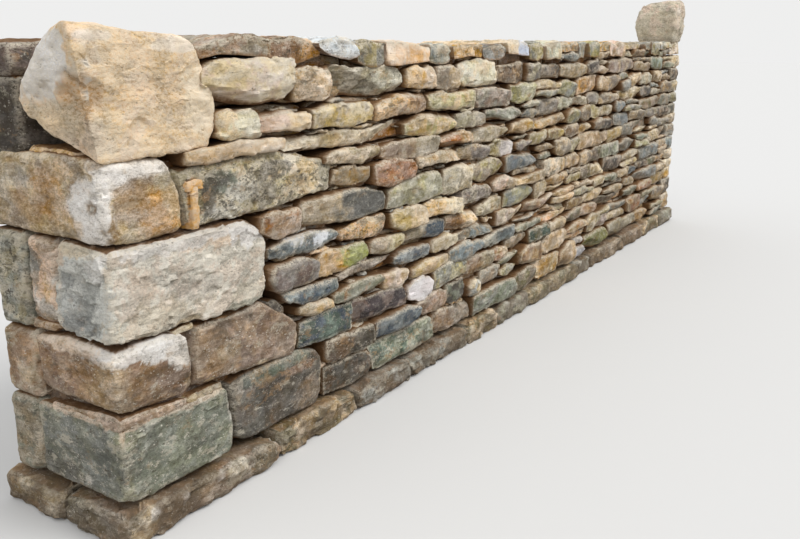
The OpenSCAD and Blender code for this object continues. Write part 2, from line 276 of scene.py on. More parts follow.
bedding = (0.64, 0.64, 1.0)  # patterns and relief are drawn out along the beds
stoneLook = {
    "level": 1.29,  # makes up for what the dark crusts and pits take away
    "mottle": 0.30,  # depth of the cloudy light and dark
    "sand": 0.19,  # depth of the fine grain
    "stain": 0.3,  # share of ochre staining
    "lichen": 0.3,  # share of pale crust
    "algae": 0.3,  # share of dark algae
    "crust": 1.0,  # how much of the three shows
    "speck": 0.35,  # white flecks
    "bed": 0.25,  # strength of the bedding lines
    "wear": 0.75,  # paleness of the knocked edges, and of the painted highlight on their upper parts
    "bump": 0.75,
    "warmth": 0.75,  # how far warm and cool patches part
    "soil": 0.0,  # how high the splashed soil reaches
}
slotLooks = {
    "footing_stone": {"level": 1.15, "soil": 0.15, "speck": 0.6, "algae": 0.5, "lichen": 0.35, "wear": 0.3},
    "grey_green_stone": {"level": 1.15, "mottle": 0.22, "bed": 0.08, "lichen": 0.36, "algae": 0.4,
                         "speck": 0.7, "stain": 0.06, "wear": 0.35, "warmth": 0.5},
    "dark_stone": {"bed": 0.1, "lichen": 0.2, "algae": 0.4, "stain": 0.25, "wear": 0.45},
    "brown_stone": {"mottle": 0.24, "bed": 0.08, "lichen": 0.24, "algae": 0.2, "speck": 0.8, "stain": 0.15,
                    "wear": 0.4, "warmth": 0.6},
    "pale_stone": {"level": 1.3, "warmth": 0.2, "mottle": 0.13, "sand": 0.24, "stain": 0.06, "lichen": 0.1,
                   "algae": 0.06, "speck": 0.3, "bed": 0.12, "wear": 0.6, "crust": 0.6, "bump": 0.9},
    "ochre_stone": {"level": 1.24, "mottle": 0.2, "sand": 0.3, "stain": 0.25, "lichen": 0.2, "algae": 0.1,
                    "bed": 0.06, "wear": 0.35, "speck": 0.4, "warmth": 0.7, "bump": 0.6, "crust": 0.5},
    "mottled_stone": {"lichen": 0.45, "algae": 0.6, "bed": 0.12, "wear": 0.45, "level": 1.4},
    "coursed_stone": {"soil": 0.12},
    "hearting_stone": {"algae": 0.1, "wear": 0.0},
    "cover_stone": {"lichen": 0.34, "algae": 0.4, "stain": 0.25},
    "boulder_stone": {"mottle": 0.13, "sand": 0.2, "stain": 0.18, "lichen": 0.12, "algae": 0.03,
                      "speck": 0.35, "bed": 0.03, "wear": 0.5, "bump": 0.6, "warmth": 0.3, "level": 1.41,
                      "crust": 0.4},
}
clouds = {  # scale, detail and roughness of the soft patterns
    "wide": (9.0, 9.0, 0.7),
    "middle": (38.0, 8.0, 0.74),
    "fine": (150.0, 6.0, 0.78),
    "sand": (520.0, 2.0, 0.6),
    "hue": (17.0, 6.0, 0.7),
}
spots = {  # scale of the spots, how large they are, and the clouds that they show in
    "fleck": {"scale": 150.0, "size": (0.34, 0.2), "clouds": (45.0, 4.0, 0.7), "shown": (0.52, 0.6)},
    "pit": {"scale": 95.0, "size": (0.28, 0.1), "clouds": (33.0, 4.0, 0.7), "shown": (0.5, 0.58)},
}
crustLooks = [  # scale, the look that rules it, least share and strength, what the look adds to them, tone
    (14.0, "stain", (0.055, 0.3), (0.07, 0.6), (176, 142, 102)),
    (21.0, "lichen", (0.05, 0.38), (0.10, 0.5), (210, 201, 182)),
    (55.0, "lichen", (0.03, 0.4), (0.10, 0.5), (220, 213, 198)),
    (27.0, "algae", (0.04, 0.36), (0.10, 0.6), (100, 95, 80)),
    (75.0, "algae", (0.03, 0.4), (0.10, 0.6), (68, 62, 52)),
]
crustGrain = (10.0, 0.74)  # detail and roughness of their edges
cloudy = (0.36, 0.64)  # the stretch of a soft pattern that is used
brightest = 0.84  # where the palest spots are held back, so that they don't burn out


class NodeBench:
    # Short ways of adding the nodes that the stone needs
    def __init__(self, material):
        material.use_nodes = True
        self.nodes = material.node_tree.nodes
        self.links = material.node_tree.links
        self.nodes.clear()

    def add(self, kind, **inputs):
        node = self.nodes.new(kind)
        for name, value in inputs.items():
            self.set(node, name.replace("_", " "), value)
        return node

    def set(self, node, name, value):
        socket = node.inputs[int(name)] if name.isdigit() else node.inputs[name]
        if isinstance(value, bpy.types.NodeSocket):
            self.links.new(value, socket)
        else:
            socket.default_value = value

    def cloud(self, place, scale, detail=3.0, rough=0.55):
        node = self.add("ShaderNodeTexNoise", Vector=place, Scale=scale, Detail=detail, Roughness=rough)
        return node.outputs["Fac"]

    def made(self, kind, *values, **settings):
        node = self.nodes.new(kind)
        for name, setting in settings.items():
            setattr(node, name, setting)
        for index, value in enumerate(values):
            self.set(node, str(index), value)
        return node.outputs[0]

    def sums(self, how, first, second=0.0, third=0.0):
        return self.made("ShaderNodeMath", first, second, third, operation=how)

    def times(self, first, second):
        return self.sums("MULTIPLY", first, second)

    def moved(self, how, *places):
        return self.made("ShaderNodeVectorMath", *places, operation=how)

    def ramp(self, value, low, high, bottom=0.0, top=1.0):
        return self.made("ShaderNodeMapRange", value, low, high, bottom, top, interpolation_type="SMOOTHSTEP")

    def evenly(self, value):
        return self.made("ShaderNodeCombineColor", value, value, value)

    def blend(self, share, first, second, how="MIX"):
        node = self.nodes.new("ShaderNodeMix")
        node.data_type = "RGBA"
        node.blend_type = how
        for index, value in ((0, share), (6, first), (7, second)):
            self.set(node, str(index), value)
        return node.outputs[2]

    def mark(self, name, output="Fac"):
        node = self.nodes.new("ShaderNodeAttribute")
        node.attribute_name = name
        return node.outputs[output]


def dyed(tone):
    return (*linear(tone), 1.0)


def ownPlace(bench, spot):
    # Every stone has its own place in the patterns
    shares = [bench.times(bench.mark("stoneSeed"), share) for share in (1.0, 0.63, 0.37)]
    seed = bench.made("ShaderNodeCombineXYZ", *shares)
    laid = bench.moved("MULTIPLY", spot, bedding)
    return bench.moved("MULTIPLY_ADD", seed, (9.0, 9.0, 9.0), laid)


def weathered(bench, look, place, patterns):
    # Light and dark over the painted tone, among them painted shade in the hollows of the relief and a
    # painted highlight on its raised parts, then warm and cool patches
    mottle, sand, bed = look["mottle"], look["sand"], look["bed"]
    parts = [  # pattern, its low and high, depth of dark, depth of light
        (patterns["wide"], *cloudy, mottle, mottle),
        (patterns["middle"], *cloudy, mottle * 0.8, mottle * 0.9),
        (patterns["fine"], *cloudy, sand, sand),
        (patterns["sand"], 0.3, 0.7, sand * 0.5, sand * 0.5),
        (patterns["beds"], *cloudy, bed * 0.7, bed * 0.6),
        # The relief: painted shade in its hollows and a painted highlight on its raised parts
        (bench.mark("rise"), -0.9, 0.9, 0.28, 0.22),
    ]
    level = 1.0
    for pattern, low, high, dark, pale in parts:
        level = bench.times(bench.ramp(pattern, low, high, 1 - dark, 1 + pale), level)
    calm = bench.sums("MULTIPLY_ADD", bench.mark("aged"), 0.6, 0.4)
    level = bench.sums("MULTIPLY_ADD", bench.sums("SUBTRACT", level, 1.0), calm, 1.0)
    level = bench.times(level, look["level"])
    colour = bench.blend(1.0, bench.mark("tone", "Color"), bench.evenly(level), "MULTIPLY")
    spread = look["warmth"]
    warmth = bench.ramp(bench.cloud(place, *clouds["hue"]), 0.4, 0.62, 1 - 0.34 * spread, 1 + 0.26 * spread)
    depth = bench.ramp(level, look["level"] * 0.6, look["level"] * 1.25, 1 + 0.22 * spread, 1 - 0.22 * spread)
    hue = bench.add("ShaderNodeHueSaturation", Color=colour, Saturation=bench.times(warmth, depth))
    return hue.outputs[0]


def crusted(bench, look, place, colour):
    # Rust stains, lichen and algae, stronger on some stones than on others
    for number, (scale, rule, (share, solid), (moreShare, moreSolid), tone) in enumerate(crustLooks):
        share, solid = share + moreShare * look[rule], solid + moreSolid * look[rule]
        apart = bench.moved("ADD", place, (3.1 * number + 1.7, 5.3, 2.9 * number))
        pattern = bench.cloud(apart, scale, *crustGrain)
        shown = bench.ramp(pattern, 0.64 - share, 0.685 - share, 0.0, min(solid, 0.9) * look["crust"])
        colour = bench.blend(bench.times(shown, bench.mark("aged")), colour, dyed(tone))
    return colour


def spotted(bench, place, name, most=1.0):
    # Small spots, only where their own clouds let them show
    look = spots[name]
    cells = bench.add("ShaderNodeTexVoronoi", Vector=place, Scale=look["scale"]).outputs["Distance"]
    some = bench.ramp(bench.cloud(place, *look["clouds"]), *look["shown"], 0.0, most)
    return bench.times(bench.ramp(cells, *look["size"]), some)


def soiled(bench, look, spot, patterns, colour):
    # Soil and painted shade in the joints and along the lower and hidden edges, and soil splashed on the foot
    # of the wall
    broken = bench.times(bench.mark("grime"), bench.ramp(patterns["middle"], 0.38, 0.62, 0.7, 1.3))
    colour = bench.blend(bench.ramp(broken, 0.1, 0.6, 0.0, 0.7), colour, dyed("earth"))
    colour = bench.blend(bench.ramp(broken, 0.45, 1.0, 0.0, 0.92), colour, dyed("jointSoil"))
    if look["soil"]:
        height = bench.add("ShaderNodeSeparateXYZ", Vector=spot).outputs["Z"]
        splash = bench.sums("ADD", height, bench.ramp(patterns["wide"], *cloudy, -0.09, 0.09))
        colour = bench.blend(bench.ramp(splash, look["soil"] + 0.05, 0.0, 0.0, 0.55), colour, dyed("soil"))
    return colour


def heldBack(bench, colour):
    parted = bench.add("ShaderNodeSeparateColor", Color=colour).outputs
    strongest = bench.sums("MAXIMUM", bench.sums("MAXIMUM", parted[0], parted[1]), parted[2])
    held = bench.sums("MINIMUM", bench.sums("DIVIDE", brightest, strongest), 1.0)
    return bench.blend(1.0, colour, bench.evenly(bench.sums("MULTIPLY_ADD", held, 0.7, 0.3)), "MULTIPLY")


def stoneMaterial(slotName):
    look = dict(stoneLook, **slotLooks[slotName])
    material = bpy.data.materials.new(slotName)
    bench = NodeBench(material)
    spot = bench.add("ShaderNodeTexCoord").outputs["Object"]
    place = ownPlace(bench, spot)
    patterns = {name: bench.cloud(place, *clouds[name]) for name in ("wide", "middle", "fine", "sand")}
    patterns["beds"] = bench.cloud(bench.moved("MULTIPLY", place, (14.0, 14.0, 95.0)), 1.0, 6.0, 0.7)
    colour = crusted(bench, look, place, weathered(bench, look, place, patterns))

    colour = bench.blend(spotted(bench, place, "fleck", look["speck"]), colour, dyed("fleck"))
    hollow = spotted(bench, place, "pit")
    colour = bench.blend(bench.times(hollow, 0.5), colour, dyed("pit"))
    # Pale knocked edges, and the painted highlight on the upper edges, where the points mark them
    worn = bench.ramp(patterns["fine"], 0.42, 0.52, 0.0, look["wear"])
    colour = bench.blend(bench.times(bench.mark("wear"), worn), colour, dyed("worn"))
    colour = heldBack(bench, soiled(bench, look, spot, patterns, colour))

    height = bench.times(patterns["fine"], 0.8)
    for pattern, share in ((patterns["middle"], 0.7), (patterns["sand"], 0.2),
                           (patterns["beds"], 0.8 * look["bed"]), (hollow, -0.25)):
        height = bench.sums("MULTIPLY_ADD", pattern, share, height)
    bump = bench.add("ShaderNodeBump", Strength=look["bump"], Distance=0.012, Height=height)
    skin = bench.add("ShaderNodeBsdfPrincipled", Base_Color=colour, Normal=bump.outputs[0],
                     Roughness=bench.ramp(patterns["middle"], *cloudy, 0.8, 0.96))
    skin.inputs["Specular IOR Level"].default_value = 0.3
    out = bench.add("ShaderNodeOutputMaterial")
    bench.links.new(skin.outputs[0], out.inputs["Surface"])
    return material


stoneMaterials = {name: stoneMaterial(name) for name in slotLooks}
print("materials made:", len(stoneMaterials))

# How stones are made. A stone is a dictionary of arrays; a pile of stones becomes one piece.


def onceRound(across, up):
    # Places of the points round the rim of a grid
    rimI = [np.arange(across), np.full(up, across), np.arange(across, 0, -1), np.zeros(up, int)]
    rimJ = [np.zeros(across, int), np.arange(up), np.full(across, up), np.arange(up, 0, -1)]
    return np.concatenate(rimI), np.concatenate(rimJ)


@functools.lru_cache(maxsize=None)
def slabGrid(across, up, deep):
    # Point grid of a face, rings of points behind it and one flat back
    i, j = np.meshgrid(np.arange(across + 1), np.arange(up + 1), indexing="ij")
    face = np.arange(i.size).reshape(i.shape)
    rimI, rimJ = onceRound(across, up)
    rim = face[rimI, rimJ]
    rings = [rim] + [face.size + k * len(rim) + np.arange(len(rim)) for k in range(deep)]
    quads = [np.stack([face[:-1, :-1], face[1:, :-1], face[1:, 1:], face[:-1, 1:]], -1).reshape(-1, 4)]
    for a, b in zip(rings, rings[1:]):
        quads.append(np.stack([a, b, np.roll(b, -1), np.roll(a, -1)], -1))
    return {
        "i": np.concatenate([i.ravel()] + [rimI] * deep),
        "j": np.concatenate([j.ravel()] + [rimJ] * deep),
        "k": np.concatenate([np.zeros(i.size, int)] + [np.full(len(rim), k + 1) for k in range(deep)]),
        "quads": np.concatenate(quads),
        "caps": [rings[-1][::-1]],
    }


@functools.lru_cache(maxsize=None)
def boxGrid(across, deep, up, inset=3):
    # Rings of points round an upright block, drawn in over its top and bottom to one flat face each
    rimI, rimJ = onceRound(across, deep)
    count = len(rimI)
    levels = [(-t, 0) for t in range(inset, 0, -1)] + [(0, k) for k in range(up + 1)]
    levels += [(t, up) for t in range(1, inset + 1)]
    rings = [np.arange(count) + k * count for k in range(len(levels))]
    quads = [np.stack([a, np.roll(a, -1), np.roll(b, -1), b], -1) for a, b in zip(rings, rings[1:])]
    return {
        "i": np.tile(rimI, len(levels)),
        "j": np.tile(rimJ, len(levels)),
        "k": np.repeat([k for _, k in levels], count),
        "draw": np.repeat([abs(t) for t, _ in levels], count),
        "quads": np.concatenate(quads),
        "caps": [rings[0][::-1], rings[-1]],
    }


def closeEnds(count, pull=0.3):
    # Even steps from 0 to 1, a little closer together at the ends
    t = np.linspace(0, 1, count + 1)
    return t - pull * np.sin(2 * np.pi * t) / (2 * np.pi)


def rounded(points, low, high, radii):
    # Rounds the edges of a box of points; gives the points and the way that each one faces
    radii = np.asarray(radii, float)
    inner = np.clip(points, low + radii, high - radii)
    way = (points - inner) / radii
    length = np.linalg.norm(way, axis=1)[:, None]
    way = way / np.maximum(length, 1e-9)
    normal = way / radii
    normal /= np.maximum(np.linalg.norm(normal, axis=1)[:, None], 1e-9)
    return inner + way * radii, normal


def throughThree(left, middle, right, t):
    return left * (1 - t) * (1 - 2 * t) + middle * 4 * t * (1 - t) + right * t * (2 * t - 1)


def pared(points, cuts):
    # Shaves the points back to each plane (a point on it, the way that it faces)
    for spot, way in cuts:
        way = np.asarray(way, float)
        way = way / np.linalg.norm(way)
        proud = (points - spot) @ way
        points = points - np.maximum(proud, 0)[:, None] * way
    return points


paint = {
    "usual": np.array([1.25, 1.03, 0.72]),  # hue of the whole wall; the stones part from it to both sides
    "ragged": ((0.07, 1.0, 0), (0.027, 0.6, 0), (0.012, 0.4, 0)),  # edges between two tones
    "turn": (0.38, 0.62),  # where along a stone one tone turns into the other
    "patch": 0.15,  # size of the patches of a second tone
    "second": (0.7, 1.25),  # a stone of one tone has patches this much darker or paler
    "bright": (0.88, 1.12),
    "bands": (0.2, 0.012, 0.2),  # size of faint bands along the beds
    "warm": 0.05,
    "green": 0.018,
    "apart": 1.1,  # how far the hues of the blocks part
}
unaged = 0.15  # how far crusts and blotches show on a clean stone, one with ~ behind its tone


def paintStone(spec, along, points, dice, apart=paint["apart"]):
    # "a" is one tone, "a/b" has patches of b, "a>b" turns from a to b along the stone
    shift = dice.uniform(0, 200, 3)
    ragged = grains(points, paint["ragged"], shift)
    if ">" in spec:
        first, second = (linear(t) for t in spec.split(">"))
        share = smoothStep(*paint["turn"], along + 0.2 * ragged)
    elif "/" in spec:
        first, second = (linear(t) for t in spec.split("/"))
        share = 0.9 * smoothStep(0.0, 0.2, ragged + 0.3 * grain(points, paint["patch"], shift + 7))
    else:
        first, second = linear(spec), linear(spec) * dice.uniform(*paint["second"])
        share = 0.6 * smoothStep(-0.1, 0.3, ragged)
    colour = first + (second - first) * share[:, None]
    bright = dice.uniform(*paint["bright"]) * (1 + 0.05 * grain(points, paint["bands"], shift))
    warm = dice.uniform(-1, 1) * paint["warm"] * apart
    green = paint["green"] * math.sin(shift[0]) * apart
    usual = colour.mean(1)[:, None] * paint["usual"]
    colour = np.maximum(usual + apart * (colour - usual), 0.01)
    return colour * bright[:, None] * np.array([1 + warm, 1 + green, 1 - warm])


def patched(colour, tone, strength, soft, far):
    # Lays a patch over the colour, with an edge that is as soft as the two numbers say
    near = (strength * smoothStep(*soft, far))[:, None]
    return colour * (1 - near) + linear(tone) * near


def howFar(points, spot, reach):
    # Distance from a place, in shares of the reach
    return np.linalg.norm((points - spot) / reach, axis=1)


def agedBy(tone):
    return unaged if "~" in tone else None


faceStyle = {
    "cell": 0.0068,
    "arris": (0.0045, 0.004, 0.0045),  # rounding of the edges along, up and inwards
    "play": 0.017,  # how far a face stands out or back
    "bulge": 0.008,
    "cuts": 7,
    "cutDepth": 0.012,
    "corners": 0.6,  # how often a corner of the outline is knocked off
    "out": 0.007,  # how far the faces stand before their line, which the knocks take back
    "gap": 0.0008,
    "fill": 0.4,  # how far the ends of a lens-shaped stone are filled up again
    "wave": 0.0036,
    "slant": 0.2,  # most lean of an end, as a share of the height
    "double": 0.0,  # how often a bed holds two thin stones
    "lens": 0.2,  # how far a stone of a laid row thins towards its ends
    "rings": (0.3, 0.65, 1.05),  # rings of points round the rim, as shares of its rounding
    "behind": 0.035,  # the next ring of points, in metres behind the face
    "shade": 1.0,
    "apart": 1.3,  # how far the hues of the stones part
}
faceShape = {
    "longEnough": 9.0,  # keeps the rounding away from the back of a stone
    "fade": 0.03,  # how deep the form of the face reaches
    "thinner": 0.12,  # how much lower and
    "shorter": 0.05,  # how much shorter a stone is at its back
    "mostSlant": 0.026,
    "lean": 0.016,
    "tip": 0.014,
    "foot": (0.002, 0.016),  # how far the lower edge stands back
}
faceWearAndShade = {
    "rim": 0.006,  # soil and painted shade along the edges
    "joint": (0.006, 0.030),  # and deeper in the joints
    "edge": (0.015, 0.004),  # knocked pale near the edges, with a painted highlight on the upper ones
    "front": (0.014, 0.005),
}


def faceCuts(dice, x0, x1, bottom, top, outermost, height, style):
    # Knocks on a face stone, as planes: a point on each and the way that it faces
    cuts = []
    for _ in range(style["cuts"]):
        side1 = dice.choice([-1.0, 1.0])
        side2 = dice.choice([-1.0, 1.0])
        sort = dice.uniform()
        endX = x0 if side1 < 0 else x1
        reach = min(style["cutDepth"], 0.22 * height)
        if sort < 0.4:  # a chip off one end
            spot = (endX, (bottom.mean() + top.mean()) / 2)
            way = (side1 * dice.uniform(0.5, 1.2), dice.uniform(-0.35, 0.35), -1.0)
            reach = 0.55 * reach
        elif sort < 0.8:  # a cleft along an edge
            spot = (x0 + (x1 - x0) * dice.uniform(0.15, 0.85), np.min(bottom) if side2 < 0 else np.max(top))
            way = (dice.uniform(-0.25, 0.25), side2 * dice.uniform(0.45, 1.4), -1.0)
        else:  # a corner knocked off
            spot = (endX, bottom.mean() if side2 < 0 else top.mean())
            way = (side1 * dice.uniform(0.4, 1.0), side2 * dice.uniform(0.5, 1.0), -0.7)
        way = np.array(way)
        way /= np.linalg.norm(way)
        cuts.append((np.array([*spot, outermost]) - way * dice.uniform(0.35, 1.0) * reach, way))
    for side1, side2 in ((-1, -1), (-1, 1), (1, -1), (1, 1)):
        if dice.uniform() > style["corners"]:
            continue
        cornerX = x0 if side1 < 0 else x1
        cornerY = (bottom if side2 < 0 else top)[0 if side1 < 0 else 2]
        way = np.array([side1 * dice.uniform(0.35, 1.0), side2 * dice.uniform(0.5, 1.0), -0.25])
        way /= np.linalg.norm(way)
        spot = np.array([cornerX, cornerY, outermost]) - way * dice.uniform(0.08, 0.30) * height
        cuts.append((spot, way))
    return cuts


def faceStone(dice, x0, x1, bottom, top, tone, side="front", style=faceStyle, depth=None, out=0.0):
    # One stone of a face, from x0 to x1 as seen on that face, between its bottom and top line
    gap = style["gap"]
    x0, x1 = x0 + gap, x1 - gap
    bottom = np.asarray(bottom, float) + gap
    top = np.asarray(top, float) - gap
    bottom = bottom + np.array([1, 0, 1]) * style["fill"] * np.minimum(bottom[1] - bottom, 0)
    top = top + np.array([1, 0, 1]) * style["fill"] * np.maximum(top[1] - top, 0)
    length = x1 - x0
    height = max(0.02, float((top - bottom).mean()))
    depth = depth or wall["leafDepth"] * dice.uniform(0.8, 1.0)
    cell = style["cell"]
    across = max(6, int(round(length / cell)))
    up = max(4, int(round(height / cell)) + 1)
    radii = np.array([min(style["arris"][0] * dice.uniform(0.8, 2.1), length * 0.3),
                      min(style["arris"][1] * dice.uniform(0.7, 1.3), height * 0.42),
                      style["arris"][2] * dice.uniform(0.7, 1.3)])
    stops = np.array([0] + [k * radii[2] for k in style["rings"]] + [style["behind"], depth])
    grid = slabGrid(across, up, len(stops) - 1)
    u = closeEnds(across)[grid["i"]]
    v = closeEnds(up)[grid["j"]]
    points = np.stack([u * length, v * height, stops[grid["k"]]], 1)
    edge = np.minimum(np.minimum(points[:, 0], length - points[:, 0]),
                      np.minimum(points[:, 1], height - points[:, 1]))
    inwards = points[:, 2].copy()
    box = np.array([length, height, faceShape["longEnough"]])
    points, normals = rounded(points, np.zeros(3), box, radii)
    share = points[:, 0] / length
    lift = points[:, 1] / height
    front = np.exp(-inwards / faceShape["fade"])
    back = np.clip(inwards / depth, 0, 1)

    shape = points.copy()
    wave = style["wave"]
    low = throughThree(*bottom, share) + 0.7 * wave * np.sin(share * dice.uniform(5, 11) + dice.uniform(0, 6))
    high = throughThree(*top, share) + wave * np.sin(share * dice.uniform(5, 12) + dice.uniform(0, 6))
    high += 0.5 * wave * np.sin(share * dice.uniform(13, 24) + dice.uniform(0, 6))
    shrink = 1 - faceShape["thinner"] * back
    shape[:, 1] = (low + high) / 2 + (high - low) * (lift - 0.5) * shrink
    slantLeft, slantRight = dice.uniform(-1, 1, 2) * min(faceShape["mostSlant"], style["slant"] * height)
    shape[:, 0] = x0 + length / 2 + (points[:, 0] - length / 2) * (1 - faceShape["shorter"] * back)
    shape[:, 0] += (slantLeft * (1 - share) + slantRight * share) * (lift - 0.5)
    lean = dice.uniform(-1, 1) * faceShape["lean"] * (share - 0.5)
    lean = lean + dice.uniform(-0.3, 1) * faceShape["tip"] * (lift - 0.5)
    lean += dice.uniform(*faceShape["foot"]) * (1 - lift) ** 2
    crown = style["bulge"] * dice.uniform(0.2, 1.3) * (1 - (2 * share - 1) ** 4) * (1 - (2 * lift - 1) ** 4)
    shape[:, 2] += (lean - crown) * front + dice.uniform(-1, 1) * style["play"] - out - style["out"]
    shape = pared(shape, faceCuts(dice, x0, x1, bottom, top, shape[:, 2].min(), height, style))

    # The style's shade darkens the stone as painted shade, and above 1 lightens it as painted light
    colour = paintStone(tone.rstrip("~"), share, shape, dice, style["apart"]) * style["shade"]
    # Darker along the rim and deeper in the joints: soil, and painted shade on the flanks that lie in the
    # joints
    grime = 0.3 * smoothStep(faceWearAndShade["rim"], 0.0, edge) + smoothStep(*faceWearAndShade["joint"], inwards)
    wear = smoothStep(*faceWearAndShade["edge"], edge) * smoothStep(*faceWearAndShade["front"], inwards)
    # Paler towards the top of the stone: a painted highlight on the upper edges over the knocked wear
    wear = wear * (0.35 + 0.65 * lift)
    return placed(shape, normals, grid, colour, grime, wear, front, dice, side, agedBy(tone))


sides = {  # where the first corner stands, and the ways along, up and inwards
    "front": ((0, 0, 0), (1, 0, 0), (0, 0, 1), (0, 1, 0)),
    "back": ((0, 0.5, 0), (-1, 0, 0), (0, 0, 1), (0, -1, 0)),
    "far": ((5.3, 0, 0), (0, 1, 0), (0, 0, 1), (-1, 0, 0)),
    "top": ((0, 0, 0), (1, 0, 0), (0, 1, 0), (0, 0, -1)),
    "plain": ((0, 0, 0), (1, 0, 0), (0, 1, 0), (0, 0, 1)),
}


def placed(shape, normals, grid, colour, grime, wear, front, dice, side, aged=None):
    # Turns a stone from its own face to the wall and moves it from the head to the frame's middle
    start, along, up, inwards = (np.array(v, float) for v in sides[side])
    turn = np.stack([along, up, inwards])
    points = start + shape @ turn - np.array([wall["length"] / 2, wall["width"] / 2, 0])
    seed = dice.uniform(0, 1)
    if aged is None:  # how far crusts and blotches show: it changes from stone to stone
        aged = 0.45 + 0.7 * (7.3 * seed % 1)
    return {
        "points": points, "normals": normals @ turn, "quads": grid["quads"], "caps": grid["caps"],
        "tone": colour, "grime": np.clip(grime, 0, 1.2), "wear": np.clip(wear, 0, 1), "front": front,
        "stoneSeed": np.full(len(points), seed), "aged": np.full(len(points), aged),
        "shift": np.tile(dice.uniform(0, 250, 3), (len(points), 1)),
    }


bedSize = 0.0095
relief = [  # pattern, size, height and shift of the lumps, facets, chips, bedding lines and grit
    (grain, 0.085, 0.0048, 0),
    (facets, 0.040, 0.0048, 31),
    (facets, 0.016, 0.0024, 43),
    (grain, (bedSize * 7, bedSize * 7, bedSize), 0.0011, 57),
    (grain, 0.012, 0.0008, 83),
]
bend = {"size": 0.03, "reach": 0.008, "shift": 71}  # keeps the edges of the facets from running straight
riseUnit = 0.006
creaseAngle = 27.0


def gathered(stones, part):
    return np.concatenate([stone[part] for stone in stones])


def worked(stones, strength=1.0):
    # Joins the arrays of a pile and gives every stone its rough skin
    points, shift = gathered(stones, "points"), gathered(stones, "shift")
    points, drawn = points * np.array(bedding), points
    bent = points + bend["reach"] * grain(points, bend["size"], shift + bend["shift"])[:, None]
    rise = 0.0
    for pattern, size, height, ownShift in relief:
        rise = rise + height * pattern(bent if pattern is facets else points, size, shift + ownShift)
    rise *= 0.25 + 0.75 * gathered(stones, "front")
    return drawn + gathered(stones, "normals") * (strength * rise)[:, None], np.clip(rise / riseUnit, -1, 1)


def addMark(mesh, name, sort, part, values):
    mark = mesh.attributes.new(name, sort, "POINT")
    mark.data.foreach_set(part, values.astype(np.float32).ravel())


def makePiece(name, stones, slotName, nodes, strength=1.0):
    points, rise = worked(stones, strength)
    quads, caps, offset = [], [], 0
    for stone in stones:
        quads.append(stone["quads"] + offset)
        caps += [(cap + offset).tolist() for cap in stone["caps"]]
        offset += len(stone["points"])
    points[:, 2] = np.maximum(points[:, 2], 0)
    mesh = bpy.data.meshes.new(name)
    mesh.from_pydata(points.tolist(), [], np.concatenate(quads).tolist() + caps)
    mesh.polygons.foreach_set("use_smooth", np.ones(len(mesh.polygons), bool))
    mesh.set_sharp_from_angle(angle=math.radians(creaseAngle))
    tone = np.clip(gathered(stones, "tone"), 0, 1)
    addMark(mesh, "tone", "FLOAT_COLOR", "color", np.concatenate([tone, np.ones((len(tone), 1))], 1))
    for mark in ("grime", "wear", "stoneSeed", "aged"):
        addMark(mesh, mark, "FLOAT", "value", gathered(stones, mark))
    addMark(mesh, "rise", "FLOAT", "value", rise)
    mesh.materials.append(stoneMaterials[slotName])
    piece = put(name, mesh)
    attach(piece, "root")
    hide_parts(*nodes)
    return piece


# Face stones beside the head, course by course from the bottom: start, end, bottom left, middle and right,
# top left, middle and right, in millimetres from the head and the ground, then the tone (~ for a clean stone)

